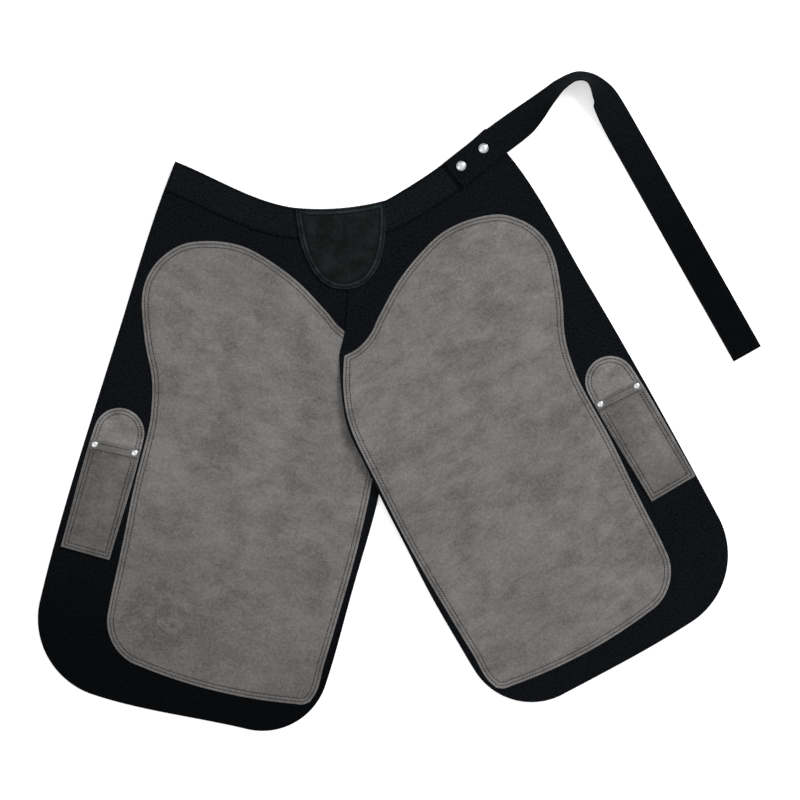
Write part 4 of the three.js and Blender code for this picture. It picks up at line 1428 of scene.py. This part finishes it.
class APRON_OT_stage(bpy.types.Operator):
    """Lay the floor, light it softly and set the camera straight above"""

    bl_idname = "apron.stage"
    bl_label = "Stage"

    def execute(self, context):
        """Build the floor, lights and camera."""
        colours = context.scene.apron_colours
        mesh = bpy.data.meshes.new("floor")
        corners = ((-1, -1), (1, -1), (1, 1), (-1, 1))
        mesh.from_pydata([(i * FLOOR_REACH, j * FLOOR_REACH, FLOOR_LEVEL) for i, j in corners], [], [(0, 1, 2, 3)])
        material = bpy.data.materials.new("pale_floor")
        material.use_nodes = True
        shader = material.node_tree.nodes["Principled BSDF"]
        shader.inputs["Base Color"].default_value = (*colours.floor, 1)
        shader.inputs["Roughness"].default_value = 0.9
        shader.inputs["Emission Color"].default_value = (1, 1, 1, 1)
        shader.inputs["Emission Strength"].default_value = 0.42
        mesh.materials.append(material)
        floor = bpy.data.objects.new("floor", mesh)
        context.scene.collection.objects.link(floor)

        world = bpy.data.worlds.new("soft_studio")
        world.use_nodes = True
        w = Wiring(world.node_tree)
        background = world.node_tree.nodes["Background"]
        height = w.add("ShaderNodeSeparateXYZ", {0: w.add("ShaderNodeTexCoord").outputs["Generated"]}).outputs[2]
        sky = w.blend(w.spread(height, 0.25, 0.85), (0.16, 0.165, 0.175, 1), (1, 1, 1, 1))
        world.node_tree.links.new(sky, background.inputs["Color"])
        background.inputs["Strength"].default_value = 0.9
        context.scene.world = world
        context.scene.view_settings.view_transform = "Standard"

        low, high = CAD_BOX
        centre = Vector(((low[0] + high[0]) / 2, (low[1] + high[1]) / 2, 0))
        for name, place, size, power in LIGHTS:
            light = bpy.data.lights.new(name, "AREA")
            light.size = size
            light.energy = power
            lamp = bpy.data.objects.new(name, light)
            lamp.location = centre + Vector(place)
            lamp.rotation_euler = (-Vector(place)).to_track_quat("-Z", "Y").to_euler()
            context.scene.collection.objects.link(lamp)

        camera = bpy.data.cameras.new("camera")
        camera.sensor_width = 36
        camera.lens = 240
        camera.dof.use_dof = False
        holder = bpy.data.objects.new("camera", camera)
        holder.location = centre + Vector(CAMERA_OFFSET)
        context.scene.collection.objects.link(holder)
        context.scene.camera = holder
        return {"FINISHED"}


class APRON_OT_canvas(bpy.types.Operator):
    """Cut both canvas halves and sew them together at the centre"""

    bl_idname = "apron.canvas"
    bl_label = "Canvas halves"

    def execute(self, context):
        """Build the canvas and the centre seam."""
        for half in HALVES:
            build_canvas(half)
        build_centre_seam()
        return {"FINISHED"}


class APRON_OT_suede(bpy.types.Operator):
    """Sew the suede leg panels on"""

    bl_idname = "apron.suede"
    bl_label = "Suede panels"

    def execute(self, context):
        """Build both leg panels."""
        for half in HALVES:
            build_suede(half)
        return {"FINISHED"}


class APRON_OT_waistband(bpy.types.Operator):
    """Sew both strips of the waistband on"""

    bl_idname = "apron.waistband"
    bl_label = "Waistband"

    def execute(self, context):
        """Build the waistband strips."""
        for half in HALVES:
            build_waistband(half)
        return {"FINISHED"}


class APRON_OT_patch(bpy.types.Operator):
    """Sew the leather patch over the middle of the waistband"""

    bl_idname = "apron.patch"
    bl_label = "Centre patch"

    def execute(self, context):
        """Build the patch."""
        build_patch()
        return {"FINISHED"}


class APRON_OT_hook_tape(bpy.types.Operator):
    """Sew the hook tape to the back of the left waist end"""

    bl_idname = "apron.hook_tape"
    bl_label = "Hook tape"

    def execute(self, context):
        """Build the hook tape."""
        build_hook_tape()
        return {"FINISHED"}


class APRON_OT_pockets(bpy.types.Operator):
    """Sew the knife pockets on"""

    bl_idname = "apron.pockets"
    bl_label = "Knife pockets"

    def execute(self, context):
        """Build both pockets."""
        for half in HALVES:
            build_pocket_back(half)
            build_pocket_front(half)
        return {"FINISHED"}


class APRON_OT_rivets(bpy.types.Operator):
    """Set the pockets' rivets"""

    bl_idname = "apron.rivets"
    bl_label = "Rivets"

    def execute(self, context):
        """Build the rivets."""
        build_rivets()
        return {"FINISHED"}


class APRON_OT_studs(bpy.types.Operator):
    """Set the press studs that hold the strap"""

    bl_idname = "apron.studs"
    bl_label = "Press studs"

    def execute(self, context):
        """Build the press studs."""
        build_studs()
        return {"FINISHED"}


class APRON_OT_strap(bpy.types.Operator):
    """Lay the waist strap round its bend"""

    bl_idname = "apron.strap"
    bl_label = "Waist strap"

    def execute(self, context):
        """Build the strap."""
        build_strap()
        return {"FINISHED"}


OPERATORS = (APRON_OT_stage, APRON_OT_canvas, APRON_OT_suede, APRON_OT_waistband, APRON_OT_patch,
             APRON_OT_hook_tape, APRON_OT_pockets, APRON_OT_rivets, APRON_OT_studs, APRON_OT_strap)


class APRON_PT_panel(bpy.types.Panel):
    """The apron's sizes, colours and pieces."""

    bl_idname = "APRON_PT_panel"
    bl_label = "Welding apron"
    bl_space_type = "VIEW_3D"
    bl_region_type = "UI"
    bl_category = "Apron"

    def draw(self, context):
        """List the settings and the pieces."""
        for settings in (context.scene.apron_sizes, context.scene.apron_colours):
            for key in settings.__annotations__:
                self.layout.prop(settings, key)
        for operator in OPERATORS:
            self.layout.operator(operator.bl_idname)


CLASSES = (ApronSizes, ApronColours, *OPERATORS, APRON_PT_panel)


def register():
    """Add the classes and the scene's settings."""
    for cls in CLASSES:
        bpy.utils.register_class(cls)
    bpy.types.Scene.apron_sizes = bpy.props.PointerProperty(type=ApronSizes)
    bpy.types.Scene.apron_colours = bpy.props.PointerProperty(type=ApronColours)


def unregister():
    """Take them away again."""
    del bpy.types.Scene.apron_colours
    del bpy.types.Scene.apron_sizes
    for cls in reversed(CLASSES):
        bpy.utils.unregister_class(cls)


def main():
    """Build every piece in order."""
    register()
    for operator in OPERATORS:
        group, name = operator.bl_idname.split(".")
        getattr(getattr(bpy.ops, group), name)()


if __name__ == "__main__":
    main()
